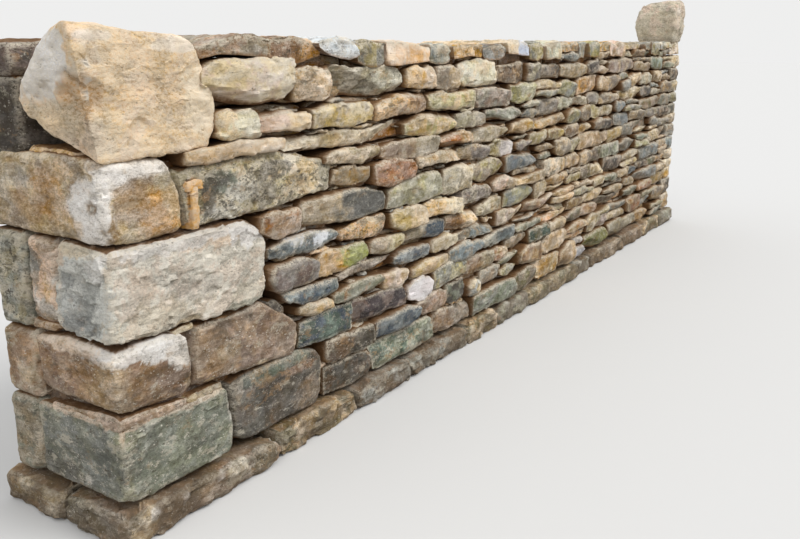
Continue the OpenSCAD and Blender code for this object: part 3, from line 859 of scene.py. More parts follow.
nearStones = {
    1: [(903, 1190, 108, 104, 106, 222, 222, 216, "dark/darkBrown"),
        (1188, 1665, 112, 106, 108, 226, 224, 214, "greyGreen/greenBlue"),
        (1667, 2008, 120, 108, 108, 214, 218, 192, "brown>greyBrown"),
        (2010, 2450, 110, 108, 106, 204, 216, 204, "greyGreen/grey")],
    2: [(903, 1198, 236, 230, 230, 322, 318, 300, "darkBrown>dark"),
        (1204, 1518, 238, 230, 238, 298, 318, 302, "blueGrey/blueDark"),
        (1516, 1778, 252, 228, 224, 300, 328, 278, "brown/tanPink"),
        (1778, 1964, 224, 216, 212, 324, 318, 306, "dark/greyGreen"),
        (1966, 2090, 222, 206, 220, 276, 290, 272, "greyWhite/cream"),
        (2092, 2300, 230, 230, 244, 304, 316, 276, "greyBrown/grey")],
    3: [(757, 1056, 346, 332, 328, 430, 440, 436, "greenBlue/blueDark"),
        (1054, 1438, 324, 328, 324, 436, 424, 396, "nightBrown/purpleBrown"),
        (1442, 1630, 350, 314, 332, 388, 418, 392, "snow>lime~"),
        (1634, 1940, 336, 330, 334, 408, 430, 394, "grey/greenTan"),
        (1940, 2226, 336, 310, 320, 394, 404, 386, "brown>greyTan"),
        (2228, 2374, 326, 324, 338, 392, 394, 362, "rust/tan")],
    4: [(748, 938, 466, 442, 452, 492, 488, 474, "tan/greyTan"),
        (938, 1260, 462, 440, 446, 478, 506, 486, "greyGreen/brown"),
        (1262, 1460, 444, 406, 434, 484, 486, 454, "tan/creamPink"),
        (1464, 1762, 440, 410, 430, 456, 480, 462, "tan/tanYellow"),
        (1764, 2084, 444, 406, 424, 474, 490, 458, "blueGrey/greyBrown"),
        (2086, 2460, 424, 408, 404, 460, 478, 480, "grey>blueGrey")],
    5: [(676, 978, 544, 492, 490, 566, 556, 528, "blueGrey/blueDark"),
        (972, 1340, 541, 524, 510, 549, 568, 536, "purpleGrey/tanPink"),
        (1342, 1608, 510, 490, 492, 530, 556, 536, "blueGrey/blueDark"),
        (1612, 1842, 498, 490, 506, 536, 558, 530, "tan>cream"),
        (1850, 2230, 498, 487, 486, 520, 556, 530, "greyBrown/blueGrey")],
    6: [(612, 866, 586, 562, 560, 660, 662, 622, "purpleGrey/purpleBrown"),
        (866, 1166, 566, 558, 588, 648, 650, 630, "ochre>yellowGreen"),
        (1168, 1402, 590, 568, 556, 626, 637, 606, "greyBrown>greenTan"),
        (1408, 1752, 596, 564, 550, 608, 636, 624, "greyTan>blueDark"),
        (1758, 2042, 574, 542, 562, 620, 634, 604, "brown>cream"),
        (2050, 2330, 586, 564, 562, 606, 644, 626, "greyTan/creamGrey")],
    7: [(612, 990, 692, 664, 680, 706, 738, 696, "blueGrey/lime"),
        (1312, 1570, 650, 634, 644, 706, 731, 706, "tanYellow>cream"),
        (1574, 1890, 657, 642, 624, 716, 714, 680, "honey>cream"),
        (2204, 2442, 676, 658, 658, 706, 732, 692, "tanPink/greyTan")],
    8: [(576, 786, 800, 738, 764, 832, 832, 820, "tanPink/rust"),
        (788, 1280, 754, 732, 744, 832, 852, 790, "greyTan>slate"),
        (1288, 1714, 744, 726, 734, 788, 844, 816, "creamGrey/greenTan"),
        (1718, 1984, 736, 720, 732, 832, 840, 812, "greyTan>cream"),
        (1996, 2320, 762, 730, 748, 798, 838, 772, "greyBrown/greenTan")],
    9: [(958, 1188, 888, 860, 856, 930, 930, 902, "tan/ochre"),
        (1192, 1488, 848, 826, 858, 920, 924, 900, "rust/rustBrown"),
        (1496, 1862, 868, 868, 860, 904, 920, 890, "greyTan/tan"),
        (1866, 2168, 858, 840, 848, 910, 911, 878, "tan>purpleGrey"),
        (2174, 2420, 856, 824, 824, 882, 914, 896, "greenTan>white")],
    10: [(908, 1248, 957, 934, 932, 974, 992, 976, "tanYellow/cream"),
         (1254, 1688, 937, 910, 927, 952, 993, 966, "brown>greyTan"),
         (1696, 1984, 928, 922, 930, 962, 986, 960, "rust>tan"),
         (1990, 2364, 930, 904, 916, 974, 985, 950, "greyTan/creamGrey")],
    11: [(284, 698, 1018, 1022, 1036, 1052, 1072, 1064, "tan>creamBright~"),
         (702, 1394, 1024, 1002, 992, 1062, 1058, 1052, "greyTan/creamGrey"),
         (1402, 1816, 1012, 988, 993, 1034, 1080, 1064, "tan/greenTan"),
         (1822, 2110, 993, 992, 993, 1056, 1060, 1030, "greyBrown/greyTan"),
         (2120, 2500, 1006, 998, 984, 1046, 1056, 1044, "grey/greyGreen")],
    12: [(408, 575, 1083, 1078, 1075, 1155, 1161, 1143, "creamGrey/tan"),
         (579, 836, 1086, 1080, 1076, 1140, 1146, 1118, "tanPink>cream~"),
         (843, 1202, 1088, 1066, 1082, 1135, 1155, 1126, "tanYellow/greyTan"),
         (1208, 1582, 1072, 1080, 1086, 1128, 1160, 1160, "honey>brown"),
         (1584, 1988, 1088, 1082, 1070, 1158, 1148, 1154, "greenTan/tan"),
         (1992, 2352, 1070, 1062, 1062, 1142, 1156, 1120, "purpleGrey/grey")],
    13: [(352, 752, 1190, 1170, 1170, 1303, 1306, 1296, "cream/creamPink~"),
         (756, 966, 1170, 1165, 1165, 1262, 1276, 1278, "tan>creamBright"),
         (970, 1420, 1168, 1156, 1180, 1276, 1268, 1252, "greyTan>creamGrey"),
         (1424, 1650, 1184, 1172, 1169, 1242, 1262, 1252, "ochre>creamPink"),
         (1654, 1868, 1168, 1160, 1168, 1252, 1260, 1228, "greyBrown>tan"),
         (1872, 2214, 1170, 1160, 1161, 1250, 1280, 1250, "cream/creamGrey"),
         (2218, 2520, 1182, 1162, 1154, 1238, 1254, 1256, "darkBrown/brown")],
}

# Further along: stones that stand out by their tone, as course, distance from the head and tone
brightStones = [
    (9, 3.40, "honey>cream"), (6, 2.90, "tan/ochre"), (2, 3.32, "orange/tan"), (1, 3.48, "white"),
    (1, 3.72, "yellowGreen"), (5, 3.02, "cream>honey"), (7, 3.1, "white>cream"), (8, 3.6, "cream/tan"),
    (10, 2.9, "honey/tan"), (12, 3.4, "honey/tan"), (13, 3.7, "creamPink/tan"),
    (3, 2.75, "greenBlue/olive"), (9, 3.85, "blueGrey/grey"), (11, 2.6, "blueGrey/greyTan"),
    (4, 2.9, "orange>cream"), (6, 3.55, "cream/tan"), (2, 4.5, "rust/tan"), (8, 4.6, "honey/cream"),
    (11, 4.3, "ochre/tan"), (5, 4.2, "cream/honey"), (12, 4.8, "cream/tan"), (3, 4.9, "honey/tan"),
]
usualTones = [  # tone and how often it comes
    ("greyTan/tan", 8), ("tan/greyBrown", 9), ("tan/cream", 5), ("greenTan/grey", 7), ("grey/greyBrown", 8),
    ("tanYellow/brown", 6), ("greyBrown/tan", 9), ("greyBrown/olive", 6), ("grey/blueGrey", 7),
    ("purpleGrey/greyTan", 5), ("honey/cream", 5), ("cream/tan", 5), ("greyGreen/olive", 7), ("brown/tan", 6),
    ("tanPink/cream", 5), ("ochre/tan", 2), ("greenTan/creamGrey", 4), ("creamGrey/greyTan", 5),
    ("dark/greyBrown", 4), ("rust/tan", 1), ("honey/ochre", 2), ("blueGrey/dark", 4),
]
toneNames = [name for name, _ in usualTones]
toneShares = np.array([share for _, share in usualTones], float)
toneShares /= toneShares.sum()

through = {  # the long stones that reach across the wall
    "start": 0.998,
    "pitch": 0.9,
    "length": 0.29,
    "count": 5,
    "course": 6,
    "gap": 0.008,
}
throughs = [through["start"] + through["pitch"] * i for i in range(through["count"])]

bedWander = {  # the beds wander a little up and down, each face in its own way
    "shift": {"front": 0.0, "back": 40.0, "far": 80.0},
    "wave": 0.55,
    "ripples": np.array([3.1, 1, 1]),
    "rise": (0.010, 0.004),  # of the long waves and of the ripples
    "more": 0.005,  # of both, where the stones are laid more loosely
    "looser": (2.3, 3.0),  # where that begins along the front
    "back": 0.7,
}
rowLengths = {
    "shares": [0.55, 0.75, 0.95, 1.15, 1.5],  # of the usual length
    "chances": [0.16, 0.24, 0.26, 0.22, 0.12],
}


def bedLine(course, x, side):
    # Height of the bed under a course
    shift = bedWander["shift"][side]
    x = np.atleast_1d(np.asarray(x, float))
    spots = np.stack([x / bedWander["wave"], np.full_like(x, course * 3.7 + shift), np.full_like(x, 0.5)], 1)
    loose = smoothStep(*bedWander["looser"], x) if side == "front" else bedWander["back"]
    waves, ripples = (height + bedWander["more"] * loose for height in bedWander["rise"])
    wander = waves * grain(spots, 1.0, 5.0)
    wander += ripples * grain(spots * bedWander["ripples"], 1.0, 9.0)
    if course == 0:
        wander = wander * 0.15 + 0.002
    if course == courseCount:
        wander = wander * 0.3
    return bedLevel[course] + wander


def rowParts(dice, start, end, usual):
    # Starts and ends of a row of stones of very mixed lengths
    ends = [start]
    while end - ends[-1] > usual * 1.75:
        share = dice.choice(rowLengths["shares"], p=rowLengths["chances"])
        ends.append(ends[-1] + usual * share * dice.uniform(0.88, 1.12))
    rest = end - ends[-1]
    if rest > usual * 1.2:
        ends.append(ends[-1] + rest * dice.uniform(0.42, 0.58))
    ends.append(end)
    return list(zip(ends, ends[1:]))


def clearOf(start, end, blocked):
    # Stretches between start and end that the through stones leave free
    parts, at = [], start
    for a, b in blocked:
        if a >= end:
            break
        if a > at:
            parts.append((at, a))
        at = max(at, b)
    if at < end:
        parts.append((at, end))
    return [(a, b) for a, b in parts if b - a > 0.06]


def onFace(a, b, side):
    # The same stretch of wall as seen on that face; the back is seen from its other end
    return (-b, -a) if side == "back" else (a, b)


def laidRow(dice, course, start, end, side, style, usual, tonePick):
    stones = []
    for a, b in rowParts(dice, start, end, usual):
        spots = np.array([a, (a + b) / 2, b])
        low = bedLine(course, spots, side)
        high = bedLine(course + 1, spots, side)
        room = float((high - low).mean())
        tilt = dice.uniform(-1, 1) * min(0.09 * room, 0.05 * (b - a)) * np.array([-1, 0, 1])
        low, high = low + tilt, high + tilt
        parts = [(low, high)]
        if room > 0.075 and b - a > 0.13 and dice.uniform() < style["double"]:
            split = low + (high - low) * dice.uniform(0.38, 0.62) + dice.uniform(-0.2, 0.2, 3) * room * 0.5
            parts = [(low, split), (split, high)]
        for bottom, top in parts:
            lens = dice.uniform(0.0, style["lens"]) * room
            bottom = bottom + np.array([dice.uniform(0, 1) * lens, 0, dice.uniform(0, 1) * lens])
            top = top - np.array([dice.uniform(0, 1.6) * lens, 0, dice.uniform(0, 1.6) * lens])
            if dice.uniform() < 0.4:  # some stones are thinner than their bed
                top = top - room * dice.uniform(0.03, 0.12)
            if side == "back":
                bottom, top = bottom[::-1], top[::-1]
            tone = tonePick(dice, course, (a + b) / 2)
            stones.append(faceStone(dice, *onFace(a, b, side), bottom, top, tone, side, style))
    return stones


def usualTone(dice, course, x):
    return toneNames[dice.choice(len(toneNames), p=toneShares)]


def frontTone(dice, course, x):
    pick = usualTone(dice, course, x)
    for row, at, tone in brightStones:
        if row == course + 1 and abs(at - x) < 0.11:
            return tone
    return pick


# The further stretches are darkened by their shade, as painted shade
farStyle = dict(faceStyle, cell=0.0108, cuts=9, cutDepth=0.018, play=0.016, bulge=0.007, wave=0.0045,
                gap=0.0010, slant=0.35, double=0.3, lens=0.30, fill=0.2, rings=(0.4, 1.05), shade=0.79,
                apart=1.4)
furthestStyle = dict(farStyle, cell=0.0135, double=0.42, shade=0.75)
backStyle = dict(farStyle, cell=0.0175, cuts=4, double=0.12, shade=0.95)
farEnd = {
    "reach": 0.20,  # how far the corner stones run back along the faces
    "shares": (0.42, 0.6),  # of the width, which the front corner stone takes by turns
    "block": {"arris": (0.014, 0.014, 0.013), "cell": 0.013, "chips": 9, "crown": 0.007},
}


def farCorner(dice, course):
    # The two corner stones that close a course at the far end
    start, end, width = wall["length"] - farEnd["reach"], wall["length"], wall["width"]
    tie = width * farEnd["shares"][course % 2]
    stones = []
    for y0, y1, side in ((0.0, tie, "front"), (tie, width, "back")):
        low = bedLine(course, [start, end], side) + 0.001
        high = bedLine(course + 1, [start, end], side) - 0.002
        stones.append(blockStone(dice, dict(
            farEnd["block"],
            low=(start + dice.uniform(0.0, 0.012), y0 + 0.002, low.min()),
            high=(end - dice.uniform(0, 0.008), y1 - 0.002, high.max()),
            bottomFront=[(start, low[0]), (end, low[1])],
            topFront=[(start, high[0]), (end, high[1])],
            tone=usualTone(dice, course, end))))
    return stones


pinning = {
    "every": 0.26,  # metres of bed for each one, near the head
    "length": (0.04, 0.11),
    "height": (0.008, 0.016),
    "back": (0.012, 0.028),  # how far it sits behind the faces
    "depth": 0.08,
    "style": dict(faceStyle, cell=0.006, cuts=2),
}
packing = {
    # shade darkens the packing a little, as painted shade in the joints
    "style": dict(faceStyle, cell=0.05, cuts=0, corners=0.0, out=0.0, play=0.008, rings=(1.05,), fill=0.0,
                  gap=0.0, arris=(0.02, 0.02, 0.02), shade=0.95),
    "length": 0.5,
    "back": 0.045,  # how far it lies behind the faces
    "depth": 0.12,
    "underCovers": 0.055,  # how far the highest row reaches up into the covers
    "tones": ["brown/earth", "earth/tan", "greyBrown/earth"],
}


def pinningStones(course, start, end):
    # Small stones pushed into the bed on top of a course, but not under the covers
    dice = np.random.default_rng(900 + course)
    stones = []
    if course == courseCount - 1:
        return stones
    for _ in range(int((end - start) / pinning["every"])):
        x = dice.uniform(start, end)
        length, height = dice.uniform(*pinning["length"]), dice.uniform(*pinning["height"])
        bed = next((row for row in nearStones[course + 1] if row[0] <= 1000 * x < row[1]), None)
        if bed is None:
            continue
        top = throughThree(*bed[5:8], (1000 * x - bed[0]) / (bed[1] - bed[0])) / 1000
        bottomLine = top - 0.003 + dice.uniform(-0.002, 0.002, 3)
        tone = usualTone(dice, course, x)
        stones.append(faceStone(dice, x - length / 2, x + length / 2, bottomLine, bottomLine + height, tone,
                                style=pinning["style"], depth=pinning["depth"],
                                out=-dice.uniform(*pinning["back"])))
    return stones


def packingStones(course, start, end):
    # Packed stone close behind the face, seen only in the joints
    dice = np.random.default_rng(700 + course)
    stones = []
    for a, b in rowParts(dice, start, end, packing["length"]):
        spots = np.array([a, (a + b) / 2, b])
        tone = packing["tones"][dice.integers(len(packing["tones"]))]
        higher = packing["underCovers"] if course == courseCount - 1 else 0.0
        top = bedLine(course + 1, spots, "front") + higher
        stones.append(faceStone(dice, a, b, bedLine(course, spots, "front"), top, tone,
                                style=packing["style"], depth=packing["depth"], out=-packing["back"]))
    return stones


paintedRowShade = {  # painted light and shade, course by course from the bottom, in three stretches of the face: the lower courses darker, the top ones paler
    "near": [0.80, 0.82, 0.84, 0.93, 0.95, 0.96, 0.93, 0.87, 0.84, 0.88, 1.07, 1.10, 1.10],
    "far": [0.84, 0.85, 0.87, 0.94, 0.96, 0.97, 0.97, 0.97, 0.97, 0.98, 1.05, 1.06, 1.06],
    "furthest": [0.76, 0.77, 0.79, 0.88, 0.90, 0.91, 0.93, 0.96, 0.97, 0.98, 1.04, 1.05, 1.05],
}


def shaded(style, stretch, course):
    return dict(style, shade=style["shade"] * paintedRowShade[stretch][course])


def courseStones(course):
    dice = np.random.default_rng(400 + course)
    stones = []
    front = nearStones[course + 1]
    for x0, x1, *heights, tone in front:
        heights = np.array(heights) / 1000
        stones.append(faceStone(dice, x0 / 1000, x1 / 1000, heights[:3], heights[3:], tone,
                                style=shaded(faceStyle, "near", course)))
    blocked = []
    if course == through["course"]:
        blocked = [(x - through["gap"], x + through["length"] + through["gap"]) for x in throughs]
    nearStart, nearEnd = front[0][0] / 1000, front[-1][1] / 1000 + 0.002
    farStart = wall["length"] - farEnd["reach"]
    change = 3.3 + 0.11 * (course * 5 % 7)
    stretches = [  # start, end, side, style, usual length of a stone and how its tone is picked
        (nearEnd, change, "front", shaded(farStyle, "far", course), 0.29, frontTone),
        (change, farStart, "front", shaded(furthestStyle, "furthest", course), 0.33, frontTone),
        (backStart[course], farStart, "back", backStyle, 0.25, usualTone),
    ]
    for start, end, *rest in stretches:
        for a, b in clearOf(start, end, blocked):
            stones += laidRow(dice, course, a, b, *rest)
    for a, b in clearOf(nearStart + 0.02, farStart, blocked):
        stones += packingStones(course, a, b)
    return stones + farCorner(dice, course) + pinningStones(course, nearStart, nearEnd)


# Dressed and rough blocks: a box with its own outline, rounded, pared and dented


blockUsual = {
    "cell": 0.006,
    "arris": (0.022, 0.022, 0.018),
    "crown": 0.004,
    "chips": 6,
    "grime": 0.9,
    "aged": 1.0,
    "ragged": 1.0,
    "soft": 0.06,  # softness of the edges of the patches
    "broad": True,  # whether an end of it is seen
}
blockWork = {
    "coarse": 0.04,  # cell across a block whose ends are hidden
    "draws": np.array([0, 0.4, 1.0, 2.2]),  # how far the last rings are drawn in
    "dentEdge": (1.15, 0.55),
    "patchEdge": ((0.05, 0.35, 12.0), (0.02, 0.25, 40.0), (0.009, 0.15, 60.0)),
    "chipDepth": (0.003, 0.010),
    "wear": (0.024, 0.006),
    "rim": 0.008,
}


def lineAt(line, value):
    spots = np.array(line, float)
    return np.interp(value, spots[:, 0], spots[:, 1])


def blockShape(points, normals, low, high, spec):
    # Outline: top and bottom lines along the front, their change inwards, and the lines of the ends and back
    def along(name, usual, value):
        return lineAt(spec.get(name, [(0, usual)]), value)

    share = (points - low) / (high - low)
    shape = points.copy()
    highLine = along("topFront", high[2], points[:, 0]) + along("topInwards", 0, points[:, 1])
    lowLine = along("bottomFront", low[2], points[:, 0]) + along("bottomInwards", 0, points[:, 1])
    shape[:, 2] = lowLine + (highLine - lowLine) * share[:, 2]
    startX = along("startLine", low[0], shape[:, 2])
    endX = along("endLine", high[0], shape[:, 2])
    shape[:, 0] = startX + (endX - startX) * share[:, 0]
    backY = along("backLine", high[1], shape[:, 2])
    shape[:, 1] = low[1] + (backY - low[1]) * share[:, 1]
    middle = 16 * np.prod(share[:, [0, 2]] * (1 - share[:, [0, 2]]), 1)
    shape += normals * spec["crown"] * middle[:, None]
    for spot, reach, depth in spec.get("dents", []):
        far = howFar(shape, spot, reach)
        far += 0.25 * grain(shape, 0.03, 3.0)
        shape -= normals * (depth * smoothStep(*blockWork["dentEdge"], far))[:, None]
    return pared(shape, spec.get("cuts", [])), share


def chipped(dice, shape, low, high, chips):
    size, middle = high - low, (low + high) / 2
    for _ in range(chips):
        edgePlace = [dice.choice([0, dice.uniform()]), dice.choice([0, dice.uniform()])]
        corner = low + size * np.array(edgePlace + [dice.choice([0.0, 1.0])])
        way = (corner - middle) / size + dice.normal(0, 0.25, 3)
        way /= np.linalg.norm(way)
        reachOut = ((shape - middle) @ way).max()
        shape = pared(shape, [(middle + way * (reachOut - dice.uniform(*blockWork["chipDepth"])), way)])
    return shape


def blockStone(dice, spec):
    # Measured from the head (x), the front face (y) and the ground (z)
    spec = dict(blockUsual, **spec)
    low, high = np.array(spec["low"], float), np.array(spec["high"], float)
    size = high - low
    cell = spec["cell"]
    across = max(4, int(round(size[0] / cell)))
    deep = max(3, int(round(size[1] / (cell if spec["broad"] else blockWork["coarse"]))))
    up = max(4, int(round(size[2] / cell)))
    radii = np.minimum(np.array(spec["arris"]), size * 0.42)
    grid = boxGrid(across, deep, up)
    u, v, w = closeEnds(across)[grid["i"]], closeEnds(deep)[grid["j"]], closeEnds(up)[grid["k"]]
    inset = blockWork["draws"][grid["draw"]] * radii[2]
    points = low + np.stack([u, v, w], 1) * size
    for axis in (0, 1):
        centre = (low[axis] + high[axis]) / 2
        points[:, axis] = centre + (points[:, axis] - centre) * (1 - 2 * inset / size[axis])
    points, normals = rounded(points, low, high, radii)
    shape, share = blockShape(points, normals, low, high, spec)
    shape = chipped(dice, shape, low, high, spec["chips"])

    # Tone: the base, then patches on the unfolded faces (s runs along the front, -s across the head)
    colour = paintStone(spec["tone"], share[:, 0], shape, dice)
    unfolded = shape[:, 0] - shape[:, 1]
    ragged = spec["ragged"] * grains(shape, blockWork["patchEdge"])
    soft = (1 + spec["soft"], 1 - spec["soft"])
    for s, z, halfS, halfZ, tone, strength in spec.get("patches", []):
        far = np.sqrt(((unfolded - s) / halfS) ** 2 + ((shape[:, 2] - z) / halfZ) ** 2) + ragged
        colour = patched(colour, tone, strength, soft, far)
    toSides = np.sort(np.minimum(points - low, high - points), axis=1)
    # Pale knocked edges, stronger towards the top: a painted highlight on the upper edges over the wear
    wear = smoothStep(*blockWork["wear"], toSides[:, 1]) * (0.4 + 0.6 * share[:, 2])
    # The hidden beds and the lowest edge are darker: soil and painted shade
    grime = spec["grime"] * (grid["draw"] > 1)
    grime = grime + 0.25 * smoothStep(blockWork["rim"], 0.0, share[:, 2] * size[2])
    front = np.ones(len(shape))
    return placed(shape, normals, grid, colour, grime, wear, front, dice, "plain", spec["aged"])


for course in range(courseCount):
    name = "course_%02d" % (course + 1)
    makePiece(name + "_stones", courseStones(course), "coursed_stone", [name])
print("courses laid")

